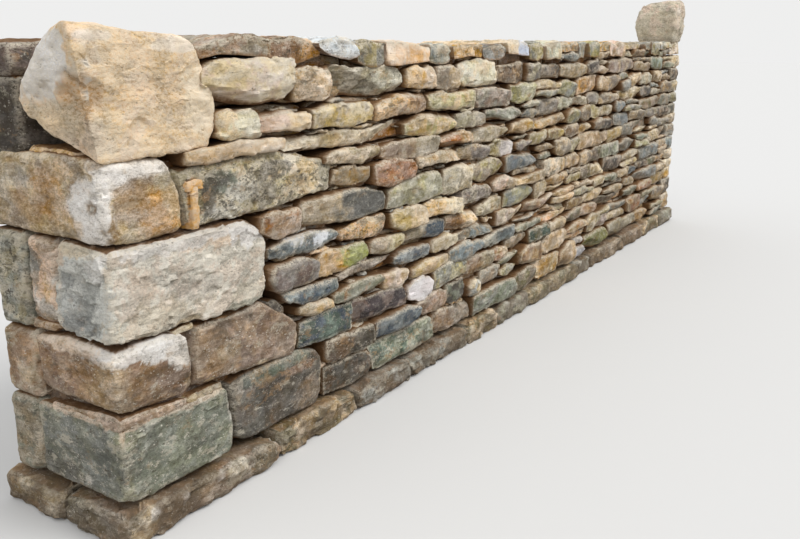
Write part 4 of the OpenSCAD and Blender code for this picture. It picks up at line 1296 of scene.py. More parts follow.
headBlocks = {
    "head_quoin_1": {
        "slot": "grey_green_stone", "seed": 21, "tone": "stoneGreen/greyGreen",
        "low": (0.0, 0.0, 0.105), "high": (0.424, 0.36, 0.335),
        "topFront": [(0.0, 0.345), (0.2, 0.332), (0.42, 0.326)],
        "topInwards": [(0, 0), (0.15, 0.008), (0.36, 0.004)],
        "bottomFront": [(0.0, 0.118), (0.15, 0.104), (0.3, 0.100), (0.42, 0.112)],
        "endLine": [(0.1, 0.412), (0.2, 0.424), (0.34, 0.402)],
        "arris": (0.014, 0.014, 0.016), "crown": 0.002, "chips": 12,
        "dents": [((0.0, 0.02, 0.34), (0.05, 0.05, 0.03), 0.012)],
        "patches": [
            (-0.2, 0.2, 0.2, 0.16, "blueDark", 0.45), (-0.27, 0.14, 0.12, 0.05, "dark", 0.55),
            (0.1, 0.12, 0.2, 0.02, "olive", 0.4), (0.24, 0.22, 0.2, 0.13, "greenBlue", 0.5),
            # The thin pale patch on the right end (at 0.412) is a painted highlight
            (-0.16, 0.155, 0.018, 0.016, "greyWhite", 0.9), (0.412, 0.26, 0.010, 0.045, "greyWhite", 0.8),
            (0.03, 0.345, 0.11, 0.020, "tanPink", 0.9), (-0.2, 0.352, 0.2, 0.016, "tanPink", 0.8),
            (0.0, 0.322, 0.012, 0.03, "creamPink", 0.8), (0.28, 0.328, 0.12, 0.010, "tanPink", 0.7),
        ],
    },
    "head_runner_1": {
        "slot": "dark_stone", "seed": 22, "tone": "dark/darkBrown",
        "low": (0.430, 0.0, 0.105), "high": (0.890, 0.2, 0.345),
        "topFront": [(0.42, 0.332), (0.6, 0.338), (0.78, 0.336), (0.86, 0.316), (0.9, 0.27)],
        "bottomFront": [(0.43, 0.135), (0.5, 0.108), (0.9, 0.104)],
        "startLine": [(0.1, 0.436), (0.34, 0.414)], "endLine": [(0.1, 0.872), (0.25, 0.892), (0.34, 0.87)],
        "arris": (0.034, 0.03, 0.034), "broad": False,
        "patches": [
            (0.5, 0.2, 0.07, 0.13, "blueGrey", 0.3), (0.56, 0.31, 0.1, 0.022, "greenBlue", 0.6),
            (0.72, 0.312, 0.1, 0.02, "greenBlue", 0.6), (0.75, 0.278, 0.09, 0.018, "rust", 0.5),
            (0.68, 0.2, 0.09, 0.08, "dark", 0.7), (0.8, 0.16, 0.09, 0.06, "brown", 0.35),
            # The thin pale strip on the right end (at 0.875) is a painted highlight
            (0.875, 0.17, 0.012, 0.08, "greyTan", 0.75), (0.45, 0.3, 0.02, 0.04, "greyBrown", 0.6),
        ],
    },
    "head_quoin_2": {
        "slot": "brown_stone", "seed": 23, "tone": "brown/redBrown",
        "low": (0.0, 0.0, 0.365), "high": (0.276, 0.345, 0.562),
        "topFront": [(0.0, 0.556), (0.2, 0.562), (0.27, 0.545)],
        "topInwards": [(0, 0), (0.2, 0.012), (0.345, 0.0)],
        "bottomFront": [(0.0, 0.384), (0.15, 0.362), (0.28, 0.366)],
        "bottomInwards": [(0, 0), (0.345, 0.012)],
        "endLine": [(0.36, 0.268), (0.46, 0.279), (0.56, 0.255)],
        "arris": (0.026, 0.026, 0.026), "crown": 0.002, "chips": 10,
        "patches": [
            (0.19, 0.540, 0.12, 0.052, "lime", 1.0), (0.235, 0.495, 0.060, 0.045, "white", 0.95),
            (0.02, 0.545, 0.17, 0.030, "lime", 0.8), (-0.2, 0.553, 0.14, 0.022, "creamPink", 0.7),
            (-0.03, 0.43, 0.08, 0.09, "tan", 0.5), (0.17, 0.43, 0.09, 0.045, "darkBrown", 0.35),
            (0.05, 0.44, 0.04, 0.07, "brown", 0.5), (-0.12, 0.46, 0.05, 0.07, "brown", 0.4),
            (0.25, 0.39, 0.02, 0.02, "tan", 0.5),
        ],
    },
    "head_runner_2": {
        "slot": "brown_stone", "seed": 24, "tone": "redBrown/brown",
        "low": (0.282, 0.0, 0.345), "high": (0.752, 0.2, 0.560),
        "topFront": [(0.28, 0.552), (0.58, 0.556), (0.66, 0.505), (0.73, 0.455), (0.76, 0.425)],
        "bottomFront": [(0.28, 0.366), (0.45, 0.352), (0.6, 0.338), (0.76, 0.33)],
        "startLine": [(0.34, 0.282), (0.56, 0.286)], "endLine": [(0.33, 0.742), (0.4, 0.754), (0.56, 0.75)],
        "arris": (0.026, 0.026, 0.022), "broad": False,
        "dents": [((0.47, 0.0, 0.53), (0.085, 0.05, 0.045), 0.014)],
        "patches": [
            (0.36, 0.46, 0.1, 0.09, "brown", 0.7), (0.46, 0.530, 0.08, 0.040, "darkBrown", 0.75),
            (0.42, 0.44, 0.05, 0.03, "greyTan", 0.35), (0.33, 0.372, 0.025, 0.012, "tan", 0.8),
            (0.57, 0.356, 0.02, 0.012, "cream", 0.8), (0.74, 0.37, 0.012, 0.04, "honey", 0.6),
            (0.64, 0.42, 0.1, 0.06, "redBrown", 0.4),
        ],
    },
    "head_quoin_3": {
        "slot": "pale_stone", "seed": 25, "tone": "chalk/chalkPink", "rough": 1.15, "ragged": 1.5,
        "low": (0.0, 0.0, 0.572), "high": (0.603, 0.21, 0.836),
        "topFront": [(0.0, 0.834), (0.3, 0.832), (0.54, 0.828), (0.585, 0.79), (0.61, 0.76)],
        "topInwards": [(0, 0), (0.2, 0.01)],
        "bottomFront": [(0.0, 0.582), (0.2, 0.566), (0.45, 0.560), (0.6, 0.556)],
        "bottomInwards": [(0, 0), (0.21, 0.008)],
        "endLine": [(0.55, 0.585), (0.68, 0.606), (0.8, 0.6)],
        "backLine": [(0.57, 0.235), (0.7, 0.212), (0.84, 0.188)],
        "arris": (0.010, 0.012, 0.010), "crown": 0.002, "chips": 12,
        "cuts": [((0.0, 0.0, 0.70), (-1.0, -0.9, 0.02)), ((0.54, 0.0, 0.80), (0.25, -1.0, 0.75)),
                 ((0.18, 0.0, 0.818), (0.0, -1.0, 0.9))],
        "dents": [((0.31, 0.0, 0.66), (0.10, 0.05, 0.05), 0.006),
                  ((0.27, 0.0, 0.575), (0.05, 0.05, 0.025), 0.009)],
        "patches": [
            (-0.11, 0.70, 0.12, 0.15, "coolGrey", 0.8), (-0.15, 0.65, 0.08, 0.06, "blueDark", 0.3),
            (-0.12, 0.62, 0.08, 0.03, "blueDark", 0.3), (-0.08, 0.70, 0.03, 0.05, "blueGrey", 0.4),
            (-0.17, 0.735, 0.03, 0.03, "blueDark", 0.4), (-0.14, 0.825, 0.1, 0.02, "cream", 0.6),
            (-0.19, 0.80, 0.025, 0.025, "creamPink", 0.7), (-0.05, 0.78, 0.04, 0.03, "lime", 0.5),
            (0.3, 0.66, 0.09, 0.045, "purpleGrey", 0.4), (0.11, 0.70, 0.05, 0.05, "tanPink", 0.35),
            (0.52, 0.60, 0.09, 0.04, "greyTan", 0.4), (0.5, 0.567, 0.08, 0.012, "greenBlue", 0.6),
            (0.45, 0.80, 0.2, 0.035, "creamPink", 0.7), (0.25, 0.572, 0.05, 0.014, "cream", 0.9),
            (0.16, 0.61, 0.17, 0.05, "greyTan", 0.45), (0.54, 0.80, 0.10, 0.045, "snow", 0.85),
            (0.3, 0.815, 0.3, 0.025, "lime", 0.7),
        ],
    },
    "head_upright_3": {
        "slot": "ochre_stone", "seed": 26, "tone": "creamPink/greyWhite",
        "low": (0.006, 0.222, 0.600), "high": (0.21, 0.343, 0.838),
        "bottomInwards": [(0.2, 0), (0.35, -0.012)], "topInwards": [(0.22, 0), (0.35, 0.004)],
        "arris": (0.024, 0.024, 0.028),
        "patches": [
            (-0.26, 0.70, 0.02, 0.05, "honey", 0.6), (-0.31, 0.76, 0.03, 0.05, "blueGrey", 0.6),
            (-0.28, 0.63, 0.05, 0.03, "greyBrown", 0.6), (-0.25, 0.82, 0.05, 0.02, "greyBrown", 0.6),
        ],
    },
    "head_quoin_4": {
        "slot": "ochre_stone", "seed": 27, "tone": "tan/brown", "soft": 0.18,
        "low": (0.0, 0.0, 0.842), "high": (0.278, 0.5, 1.062),
        "topFront": [(0.0, 1.064), (0.15, 1.058), (0.235, 1.052), (0.28, 1.03)],
        "topInwards": [(0, 0), (0.15, 0.010), (0.35, 0.004), (0.5, 0.0)],
        "bottomFront": [(0.0, 0.844), (0.15, 0.836), (0.28, 0.838)], "bottomInwards": [(0, 0), (0.35, 0.010)],
        "endLine": [(0.84, 0.280), (0.95, 0.268), (1.05, 0.236)],
        "arris": (0.028, 0.028, 0.026), "crown": 0.003, "chips": 10,
        "dents": [((0.0, 0.035, 0.943), (0.03, 0.02, 0.02), 0.004)],
        "patches": [
            (-0.048, 0.915, 0.076, 0.115, "lime", 0.9), (0.035, 1.015, 0.065, 0.045, "lime", 0.8),
            (0.16, 1.036, 0.10, 0.028, "white", 0.9), (-0.11, 1.035, 0.07, 0.028, "greyBrown", 0.7),
            (-0.34, 1.0, 0.06, 0.035, "greyWhite", 0.5), (-0.14, 0.872, 0.035, 0.03, "greyWhite", 0.5),
            (0.205, 0.985, 0.03, 0.030, "creamGrey", 0.6), (0.245, 0.90, 0.03, 0.045, "greenTan", 0.6),
            (-0.16, 1.03, 0.06, 0.03, "honey", 0.7), (-0.13, 0.87, 0.05, 0.05, "honey", 0.5),
            (0.185, 0.905, 0.082, 0.070, "amber", 0.85), (0.10, 0.950, 0.060, 0.06, "brown", 0.8),
            (0.24, 0.95, 0.04, 0.06, "greyTan", 0.6), (0.10, 0.86, 0.05, 0.03, "grey", 0.4),
            (-0.21, 0.96, 0.07, 0.07, "amber", 0.6), (-0.33, 0.92, 0.09, 0.06, "brown", 0.7),
            (-0.17, 0.88, 0.04, 0.05, "tan", 0.5), (-0.42, 0.95, 0.06, 0.1, "greyTan", 0.5),
            (-0.037, 0.943, 0.018, 0.017, "brown", 0.95), (-0.037, 0.943, 0.007, 0.007, "greyWhite", 0.9),
        ],
    },
    "head_runner_4": {
        "slot": "mottled_stone", "seed": 28, "tone": "creamGrey/greenTan",
        "low": (0.286, 0.0, 0.838), "high": (0.952, 0.2, 1.0),
        "topFront": [(0.26, 1.012), (0.5, 1.022), (0.68, 1.026), (0.78, 0.996), (0.96, 0.958)],
        "bottomFront": [(0.28, 0.842), (0.66, 0.842), (0.78, 0.856), (0.96, 0.864)],
        "startLine": [(0.84, 0.29), (1.0, 0.262)], "endLine": [(0.87, 0.945), (0.95, 0.957)],
        "arris": (0.02, 0.02, 0.016), "broad": False, "crown": 0.007,
        "cuts": [((0.6, 0.0, 1.0), (0.1, -1.0, 0.55))],
        "patches": [
            (0.43, 0.960, 0.07, 0.035, "greenBlue", 0.85), (0.42, 0.965, 0.04, 0.02, "nightBrown", 0.6),
            (0.66, 0.965, 0.11, 0.03, "dark", 0.75), (0.375, 0.93, 0.03, 0.06, "dark", 0.7),
            (0.50, 0.915, 0.06, 0.03, "greyWhite", 0.75), (0.80, 0.92, 0.10, 0.055, "cream", 0.9),
            (0.43, 0.87, 0.09, 0.025, "greyWhite", 0.7), (0.36, 0.91, 0.03, 0.05, "dark", 0.5),
            (0.61, 0.895, 0.07, 0.045, "dark", 0.65), (0.88, 0.92, 0.04, 0.03, "creamGrey", 0.5),
            (0.5, 1.01, 0.2, 0.014, "greenTan", 0.6), (0.92, 0.93, 0.03, 0.04, "greyGreen", 0.5),
            (0.31, 0.90, 0.020, 0.07, "amber", 1.0), (0.313, 0.964, 0.036, 0.022, "amber", 1.0),
        ],
    },
    "back_quoin_1": {
        "slot": "grey_green_stone", "seed": 31, "tone": "greyTan/greyGreen", "cell": 0.012,
        "low": (0.0, 0.368, 0.105), "high": (0.520, 0.5, 0.342), "arris": (0.026, 0.026, 0.022),
        "topFront": [(0.0, 0.346), (0.3, 0.334), (0.52, 0.338)],
    },
    "back_quoin_2": {
        "slot": "brown_stone", "seed": 32, "tone": "brown/greyTan", "cell": 0.012,
        "low": (0.002, 0.353, 0.349), "high": (0.330, 0.5, 0.560), "arris": (0.028, 0.028, 0.026),
        "topFront": [(0.0, 0.562), (0.15, 0.556), (0.33, 0.55)],
    },
    "back_quoin_3": {
        "slot": "mottled_stone", "seed": 33, "tone": "greyTan/grey", "cell": 0.012,
        "low": (0.0, 0.351, 0.568), "high": (0.560, 0.5, 0.836), "arris": (0.022, 0.022, 0.02),
        "topFront": [(0.0, 0.845), (0.25, 0.842), (0.56, 0.842)],
    },
    # Its dark tone is painted shadow, for the shade that it lies in
    "head_back_stone_5": {
        "slot": "dark_stone", "seed": 34, "tone": "backDark/dark", "cell": 0.011,
        "low": (0.012, 0.312, 1.056), "high": (0.411, 0.5, 1.262), "arris": (0.022, 0.022, 0.014),
        "topFront": [(0.0, 1.262), (0.2, 1.266), (0.41, 1.25)],
    },
    # Its dark tone is painted shadow, for the shade that it lies in
    "head_cover_slab": {
        "slot": "cover_stone", "seed": 35, "tone": "backBrown/backDark", "cell": 0.011,
        "low": (0.004, 0.312, 1.262), "high": (0.405, 0.5, 1.352), "arris": (0.024, 0.028, 0.026),
        "topFront": [(0.0, 1.350), (0.2, 1.360), (0.4, 1.348)],
    },
}


slipBlocks = {
    "stone": {"arris": (0.016, 0.016, 0.008), "chips": 5, "cell": 0.006, "aged": 1.0},
    "crust": {"arris": (0.005, 0.005, 0.005), "chips": 0, "cell": 0.004, "aged": 0.0},
}


def slip(dice, low, high, tone, topFront=None, topInwards=((0, 0),)):
    # A thin pinning stone or crust in a bed
    return blockStone(dice, dict(
        slipBlocks["crust" if tone == "amberStrip" else "stone"],
        low=low, high=high, tone=tone, topFront=topFront or [(0, high[2])], topInwards=topInwards,
        broad=low[1] > 0.1 or high[0] < 0.5))


headSlips = {  # extra thin stones and crusts that lie in the beds of the head
    "head_quoin_1": [((0.005, 0.005, 0.325), (0.25, 0.30, 0.380), "tanPink/brown",
                      [(0.0, 0.376), (0.12, 0.366), (0.24, 0.348)], [(0.0, 0.0), (0.3, -0.020)]),
                     ((0.25, 0.012, 0.310), (0.40, 0.12, 0.346), "brown/tan")],
    "head_runner_2": [((0.615, 0.012, 0.470), (0.70, 0.16, 0.548), "dark/greyBrown",
                       [(0.615, 0.548), (0.66, 0.540), (0.70, 0.500)])],
    "head_runner_4": [((0.70, 0.014, 0.975), (0.83, 0.15, 1.012), "tan/greyBrown",
                       [(0.70, 1.012), (0.78, 1.008), (0.83, 0.990)]),
                      ((0.297, -0.010, 0.838), (0.324, 0.06, 0.974), "amberStrip",
                       [(0.297, 0.974), (0.324, 0.970)]),
                      ((0.283, -0.010, 0.950), (0.347, 0.06, 0.980), "amberStrip",
                       [(0.283, 0.978), (0.315, 0.984), (0.347, 0.976)])],
    "head_quoin_2": [((0.21, 0.014, 0.545), (0.30, 0.10, 0.566), "cream/tan")],
    "head_upright_3": [((0.004, 0.225, 0.574), (0.2, 0.345, 0.600), "brown/darkBrown")],
    "head_quoin_4": [((0.02, 0.10, 1.062), (0.24, 0.30, 1.084), "honey/ochre")],
}
headRough = 0.7  # depth of the rough skin; the pale quoin has its own
for name, spec in headBlocks.items():
    dice = np.random.default_rng(spec["seed"])
    stones = [blockStone(dice, spec)]
    stones += [slip(dice, *each) for each in headSlips.get(name, [])]
    makePiece(name + "_block", stones, spec["slot"], [name], spec.get("rough", headRough))
print("head blocks dressed")

# Through stones, which reach across both faces

throughTones = ["orange/ochre", "purpleGrey/greyTan", "greyTan/tan", "greyGreen/grey", "tan/brown"]
throughShapes = {  # the first two as they show: bottom and top lines from their own start
    0: ([(0.0, 0.672), (0.1, 0.650), (0.3, 0.645)], [(0.0, 0.712), (0.15, 0.730), (0.3, 0.728)]),
    1: ([(0.0, 0.654), (0.15, 0.648), (0.3, 0.662)], [(0.0, 0.720), (0.15, 0.735), (0.3, 0.706)]),
}


def throughStone(index):
    dice = np.random.default_rng(70 + index)
    x, course = throughs[index], through["course"]
    spots = np.linspace(0, through["length"], 4)
    lowLine = list(zip(spots, bedLine(course, x + spots, "front") + 0.002))
    highLine = list(zip(spots, bedLine(course + 1, x + spots, "front") - 0.004))
    if index in throughShapes:
        lowLine, highLine = throughShapes[index]
    return blockStone(dice, {
        "low": (x, -0.004, lowLine[0][1]), "high": (x + through["length"], 0.504, highLine[0][1]),
        "bottomFront": [(x + s, z) for s, z in lowLine], "topFront": [(x + s, z) for s, z in highLine],
        "tone": throughTones[index], "arris": (0.014, 0.012, 0.012), "cell": 0.007 if index < 2 else 0.012,
        "broad": False, "chips": 8})


stones = [throughStone(index) for index in range(through["count"])]
makePiece("through_stones_set", stones, "mottled_stone", ["through_stones"])

# Footing, which stands out a little at the foot

footing = {
    "corner": {
        "tone": "greyBrown/brown",
        "low": (-0.035, -0.035, 0.0), "high": (0.604, 0.25, 0.100),
        "topFront": [(-0.03, 0.100), (0.25, 0.096), (0.5, 0.088), (0.6, 0.07)],
        "arris": (0.03, 0.03, 0.022), "cell": 0.010, "chips": 10, "grime": 0.35,
        "patches": [
            (-0.1, 0.06, 0.06, 0.03, "grey", 0.5), (-0.2, 0.05, 0.10, 0.06, "footingDark", 0.75),
            (0.05, 0.055, 0.06, 0.045, "cream", 0.85), (0.16, 0.05, 0.05, 0.05, "soil", 0.6),
            (0.31, 0.045, 0.05, 0.03, "creamPink", 0.7), (0.28, 0.09, 0.07, 0.02, "footingDark", 0.8),
            (0.42, 0.06, 0.06, 0.035, "creamGrey", 0.7), (0.55, 0.06, 0.07, 0.06, "footingDark", 0.75),
            (0.02, 0.08, 0.02, 0.02, "dark", 0.8), (0.10, 0.075, 0.02, 0.015, "lime", 0.7),
            (0.36, 0.075, 0.02, 0.015, "lime", 0.6), (0.21, 0.07, 0.015, 0.02, "lime", 0.5),
        ],
    },
    "stone": {"arris": (0.022, 0.02, 0.018), "grime": 0.35, "chips": 7},
    "length": 0.46,
    "joint": 0.003,
    "cells": (0.011, 0.018),  # near the head on the front, and elsewhere
    "tones": ["brown/soil", "olive/tan", "greyGreen/grey", "grey/soil", "tan/soil", "greyTan/brown",
              "soil/tan"],
    "rough": 1.9,
    "rows": {  # from, to, its outer and inner line, seed
        "footing_front": (0.609, 5.335, -0.035, 0.25, 52),
        "footing_back": (-0.035, 5.335, 0.535, 0.256, 53),
    },
}


def footingRow(start, end, y0, y1, seed):
    dice = np.random.default_rng(seed)
    stones = []
    for a, b in rowParts(dice, start, end, footing["length"]):
        top = wall["footingTop"] - dice.uniform(0.002, 0.014)
        push = dice.uniform(0, 0.014)
        face = (y0 + push, y1) if y0 < y1 else (y1, y0 - push)
        tone = footing["tones"][dice.integers(len(footing["tones"]))]
        topLine = [(a, top - dice.uniform(0, 0.01)), ((a + b) / 2, top), (b, top - dice.uniform(0, 0.01))]
        stones.append(blockStone(dice, dict(
            footing["stone"], low=(a + footing["joint"], face[0], 0.0),
            high=(b - footing["joint"], face[1], top), tone=tone, topFront=topLine,
            cell=footing["cells"][0 if a < 2.5 and y0 < 0 else 1], broad=b > end - 0.01 or a < 0.1)))
    return stones


stones = [blockStone(np.random.default_rng(51), footing["corner"])]
makePiece("footing_corner_block", stones, "footing_stone", ["footing_corner"], footing["rough"])
for name, row in footing["rows"].items():
    makePiece(name + "_stones", footingRow(*row), "footing_stone", [name], footing["rough"])
print("through stones and footing set")

# Hearting: packed small stone between the faces, seen only in the joints; its dark brown tone is partly its
# own colour and partly painted shade that deepens the joints

heartings = [
    {"low": (0.44, 0.16, 0.04), "high": (5.13, 0.34, 1.285)},
    {"low": (0.05, 0.05, 0.05), "high": (0.47, 0.45, 1.035)},  # between the blocks of the head
    {"low": (0.05, 0.34, 1.0), "high": (0.47, 0.47, 1.31)},
]
fill = {"tone": "darkBrown/earth", "cell": 0.09, "arris": (0.02, 0.02, 0.02), "chips": 0}
dice = np.random.default_rng(61)
stones = [blockStone(dice, dict(fill, **each)) for each in heartings]
makePiece("hearting_fill", stones, "hearting_stone", ["hearting"], 1.5)

# Cover stones, flat and as wide as the wall. The near ones as they show: start, end, heights of the lower and
# of the upper edge at five even places, in millimetres, and the tone

nearCovers = [
    (348, 660, (1305, 1318, 1316, 1309, 1303), (1335, 1350, 1370, 1379, 1356), "brown/greyTan"),
    (660, 930, (1303, 1292, 1278, 1292, 1302), (1357, 1370, 1368, 1352, 1322), "brown>ochre"),
    (888, 1128, (1332, 1308, 1296, 1290, 1305), (1346, 1364, 1367, 1364, 1350), "lime/white"),
    (1104, 1292, (1285, 1270, 1261, 1261, 1264), (1352, 1358, 1355, 1347, 1346), "greenTan/grey"),
    (1290, 1600, (1266, 1266, 1269, 1272, 1277), (1356, 1354, 1350, 1342, 1330), "creamBright/creamWarm~"),
    (1600, 1796, (1274, 1263, 1261, 1264, 1274), (1341, 1340, 1338, 1337, 1333), "greyTan/grey"),
    (1796, 2094, (1280, 1287, 1293, 1290, 1284), (1335, 1340, 1342, 1344, 1334), "ochre/creamWarm"),
    (2098, 2298, (1280, 1271, 1270, 1269, 1296), (1333, 1337, 1339, 1336, 1322), "grey/greyBrown"),
    (2300, 2540, (1298, 1295, 1292, 1287, 1286), (1346, 1362, 1362, 1352, 1325), "cream>lime"),
]
coverTones = [
    "creamGrey/tan", "grey/greyTan", "tan/creamPink", "greyTan/honey", "greenTan/grey", "creamPink/tan",
    "greyBrown/grey",
]
coverStyle = {
    "cell": 0.0085,
    "arris": (0.008, 0.008, 0.008),
    "cuts": 8,
    "cutDepth": (0.001, 0.010),
    "tilt": 0.016,  # how much lower a cover may lie at the back
    "gap": 0.002,
    "rings": (0.3, 0.65, 1.05),
    "corners": (-0.012, 0.004),  # how far each corner stands back
    "before": np.array([0.010, 0.010, 0, 0]),  # and how far the front ones stand out
    "slant": 0.02,
    "wave": 0.006,
    "apart": 1.55,
}
coverWearAndShade = {
    "under": 0.014,  # soil and painted shade on the lower edge
    "rim": 0.006,  # and on the edges above
    "edge": (0.016, 0.004),  # knocked pale near the edges
    "top": (0.02, 0.006),
}
farCover = {
    "style": dict(coverStyle, cell=0.0115),
    "start": 2.542,
    "end": 5.03,
    "last": 5.302,  # end of the last one, under the far boulder
    "length": 0.27,
    "under": 0.2,  # length of the small stones under a thin cover
    "styles": {"front": furthestStyle, "back": backStyle},
}


def alongLine(heights, share):
    return np.interp(share, np.linspace(0, 1, len(heights)), heights)


def coverCuts(dice, x0, x1, skew, highest, style):
    # Knocks on the edges of a cover stone, most of them on the front
    cuts = []
    for _ in range(style["cuts"]):
        side1, side2 = dice.choice([-1.0, 1.0]), dice.choice([-1.0, -1.0, -1.0, 1.0])
        edgeY = min(skew[0], skew[1]) if side2 < 0 else wall["width"]
        at = np.array([x0 + (x1 - x0) * dice.uniform(), edgeY, highest + 0.004])
        way = np.array([dice.uniform(-0.12, 0.12), side2, dice.uniform(-0.7, 0.10)])
        if dice.uniform() < 0.25:
            at[0] = x0 if side1 < 0 else x1
            way[0] = side1 * dice.uniform(0.5, 1.0)
        way /= np.linalg.norm(way)
        cuts.append((at - way * dice.uniform(*style["cutDepth"]), way))
    return cuts


def coverStone(dice, x0, x1, bottom, top, tone, style=coverStyle):
    # Seen from above: along the wall, across it, and down
    x0, x1 = x0 + style["gap"], x1 - style["gap"]
    length, width = x1 - x0, wall["width"]
    across, broad = max(6, int(round(length / style["cell"]))), int(round(width / (style["cell"] * 1.5)))
    radii = np.array(style["arris"]) * dice.uniform(0.8, 1.4)
    thick = float(np.mean(top) - np.mean(bottom))
    *rim, last = style["rings"]
    stops = np.array([0] + [k * radii[2] for k in rim] + list(np.linspace(radii[2] * last, thick, 5)))
    grid = slabGrid(across, broad, len(stops) - 1)
    u, v = closeEnds(across)[grid["i"]], closeEnds(broad)[grid["j"]]
    points = np.stack([u * length, v * width, stops[grid["k"]]], 1)
    inwards = points[:, 2].copy()
    points, normals = rounded(points, np.zeros(3), np.array([length, width, faceShape["longEnough"]]), radii)
    share = points[:, 0] / length
    high = alongLine(top, share)
    low = alongLine(bottom, share)

    skew = dice.uniform(*style["corners"], 4) - style["before"]
    shape = points.copy()
    frontY = skew[0] + (skew[1] - skew[0]) * share
    backY = width - skew[2] - (skew[3] - skew[2]) * share
    shape[:, 1] = frontY + (backY - frontY) * points[:, 1] / width
    narrowed = 1 - faceShape["shorter"] * inwards / thick
    shape[:, 0] = x0 + length / 2 + (points[:, 0] - length / 2) * narrowed
    slant = dice.uniform(-style["slant"], style["slant"], 2)
    shape[:, 0] += (slant[0] * (1 - share) + slant[1] * share) * (points[:, 1] / width - 0.5)
    shape[:, 2] = (points[:, 2] / thick) * (high - low) - high
    shape[:, 2] += dice.uniform(0, 1) * style["tilt"] * (points[:, 1] / width) * (1 - inwards / thick)
    waves = np.sin(share * dice.uniform(4, 9) + dice.uniform(0, 6))
    shape[:, 1] += style["wave"] * waves * (1 - points[:, 1] / width)
    shape = pared(shape, coverCuts(dice, x0, x1, skew, shape[:, 2].min(), style))

    colour = paintStone(tone.rstrip("~"), share, shape, dice, style["apart"])
    toEnd = np.minimum(points[:, 0], length - points[:, 0])
    toFace = np.minimum(points[:, 1], width - points[:, 1])
    # The lower edge and the ends are darker: soil and painted shade
    grime = 0.5 * smoothStep(thick - coverWearAndShade["under"], thick, inwards)
    grime = grime + 0.5 * smoothStep(coverWearAndShade["rim"], 0.0, toEnd)
    wear = smoothStep(*coverWearAndShade["edge"], np.minimum(toEnd, toFace)) * smoothStep(*coverWearAndShade["top"], inwards)
    return placed(shape, normals, grid, colour, grime, wear, np.ones(len(shape)), dice, "top", agedBy(tone))


def smallUnder(dice, start, end, split):
    # Row of small stones on each face, under a thin cover
    stones = []
    for side, style in farCover["styles"].items():
        for a, b in rowParts(dice, start, end, farCover["under"]):
            lowLine = bedLine(courseCount, [a, (a + b) / 2, b], side)
            topLine = split + dice.uniform(-0.008, 0.002, 3)
            tone = usualTone(dice, 0, a)
            stones.append(faceStone(dice, *onFace(a, b, side), lowLine, topLine, tone, side, style))
    return stones


def coverRow():
    dice = np.random.default_rng(80)
    stones = []
    for x0, x1, low, high, tone in nearCovers:
        low, high = np.array(low) / 1000, np.array(high) / 1000
        stones.append(coverStone(dice, x0 / 1000, x1 / 1000, low, high, tone))
    parts = rowParts(dice, farCover["start"], farCover["end"], farCover["length"])
    for a, b in parts + [(farCover["end"], farCover["last"])]:
        low = bedLine(courseCount, np.linspace(a, b, 5), "front") + 0.004 + dice.uniform(0, 0.012, 5)
        high = wall["coverTop"] + dice.uniform(-0.014, 0.010, 5)
        if b > 5.1:  # flat under the far boulder
            high = np.full(5, wall["coverTop"])
        if a > 2.8 and dice.uniform() < 0.65:  # a thin cover on a row of small stones
            split = wall["coverBottom"] + (wall["coverTop"] - wall["coverBottom"]) * dice.uniform(0.42, 0.56)
            stones += smallUnder(dice, a, b, split)
            low = split + dice.uniform(-0.002, 0.008, 5)
        tone = coverTones[dice.integers(len(coverTones))]
        stones.append(coverStone(dice, a, b, low, high, tone, farCover["style"]))
    return stones


makePiece("cover_stones_row", coverRow(), "cover_stone", ["cover_stones"], 1.1)
print("hearting and cover stones set")

# Boulders: the solid between facets through measured corners, its edges softened and its faces rough

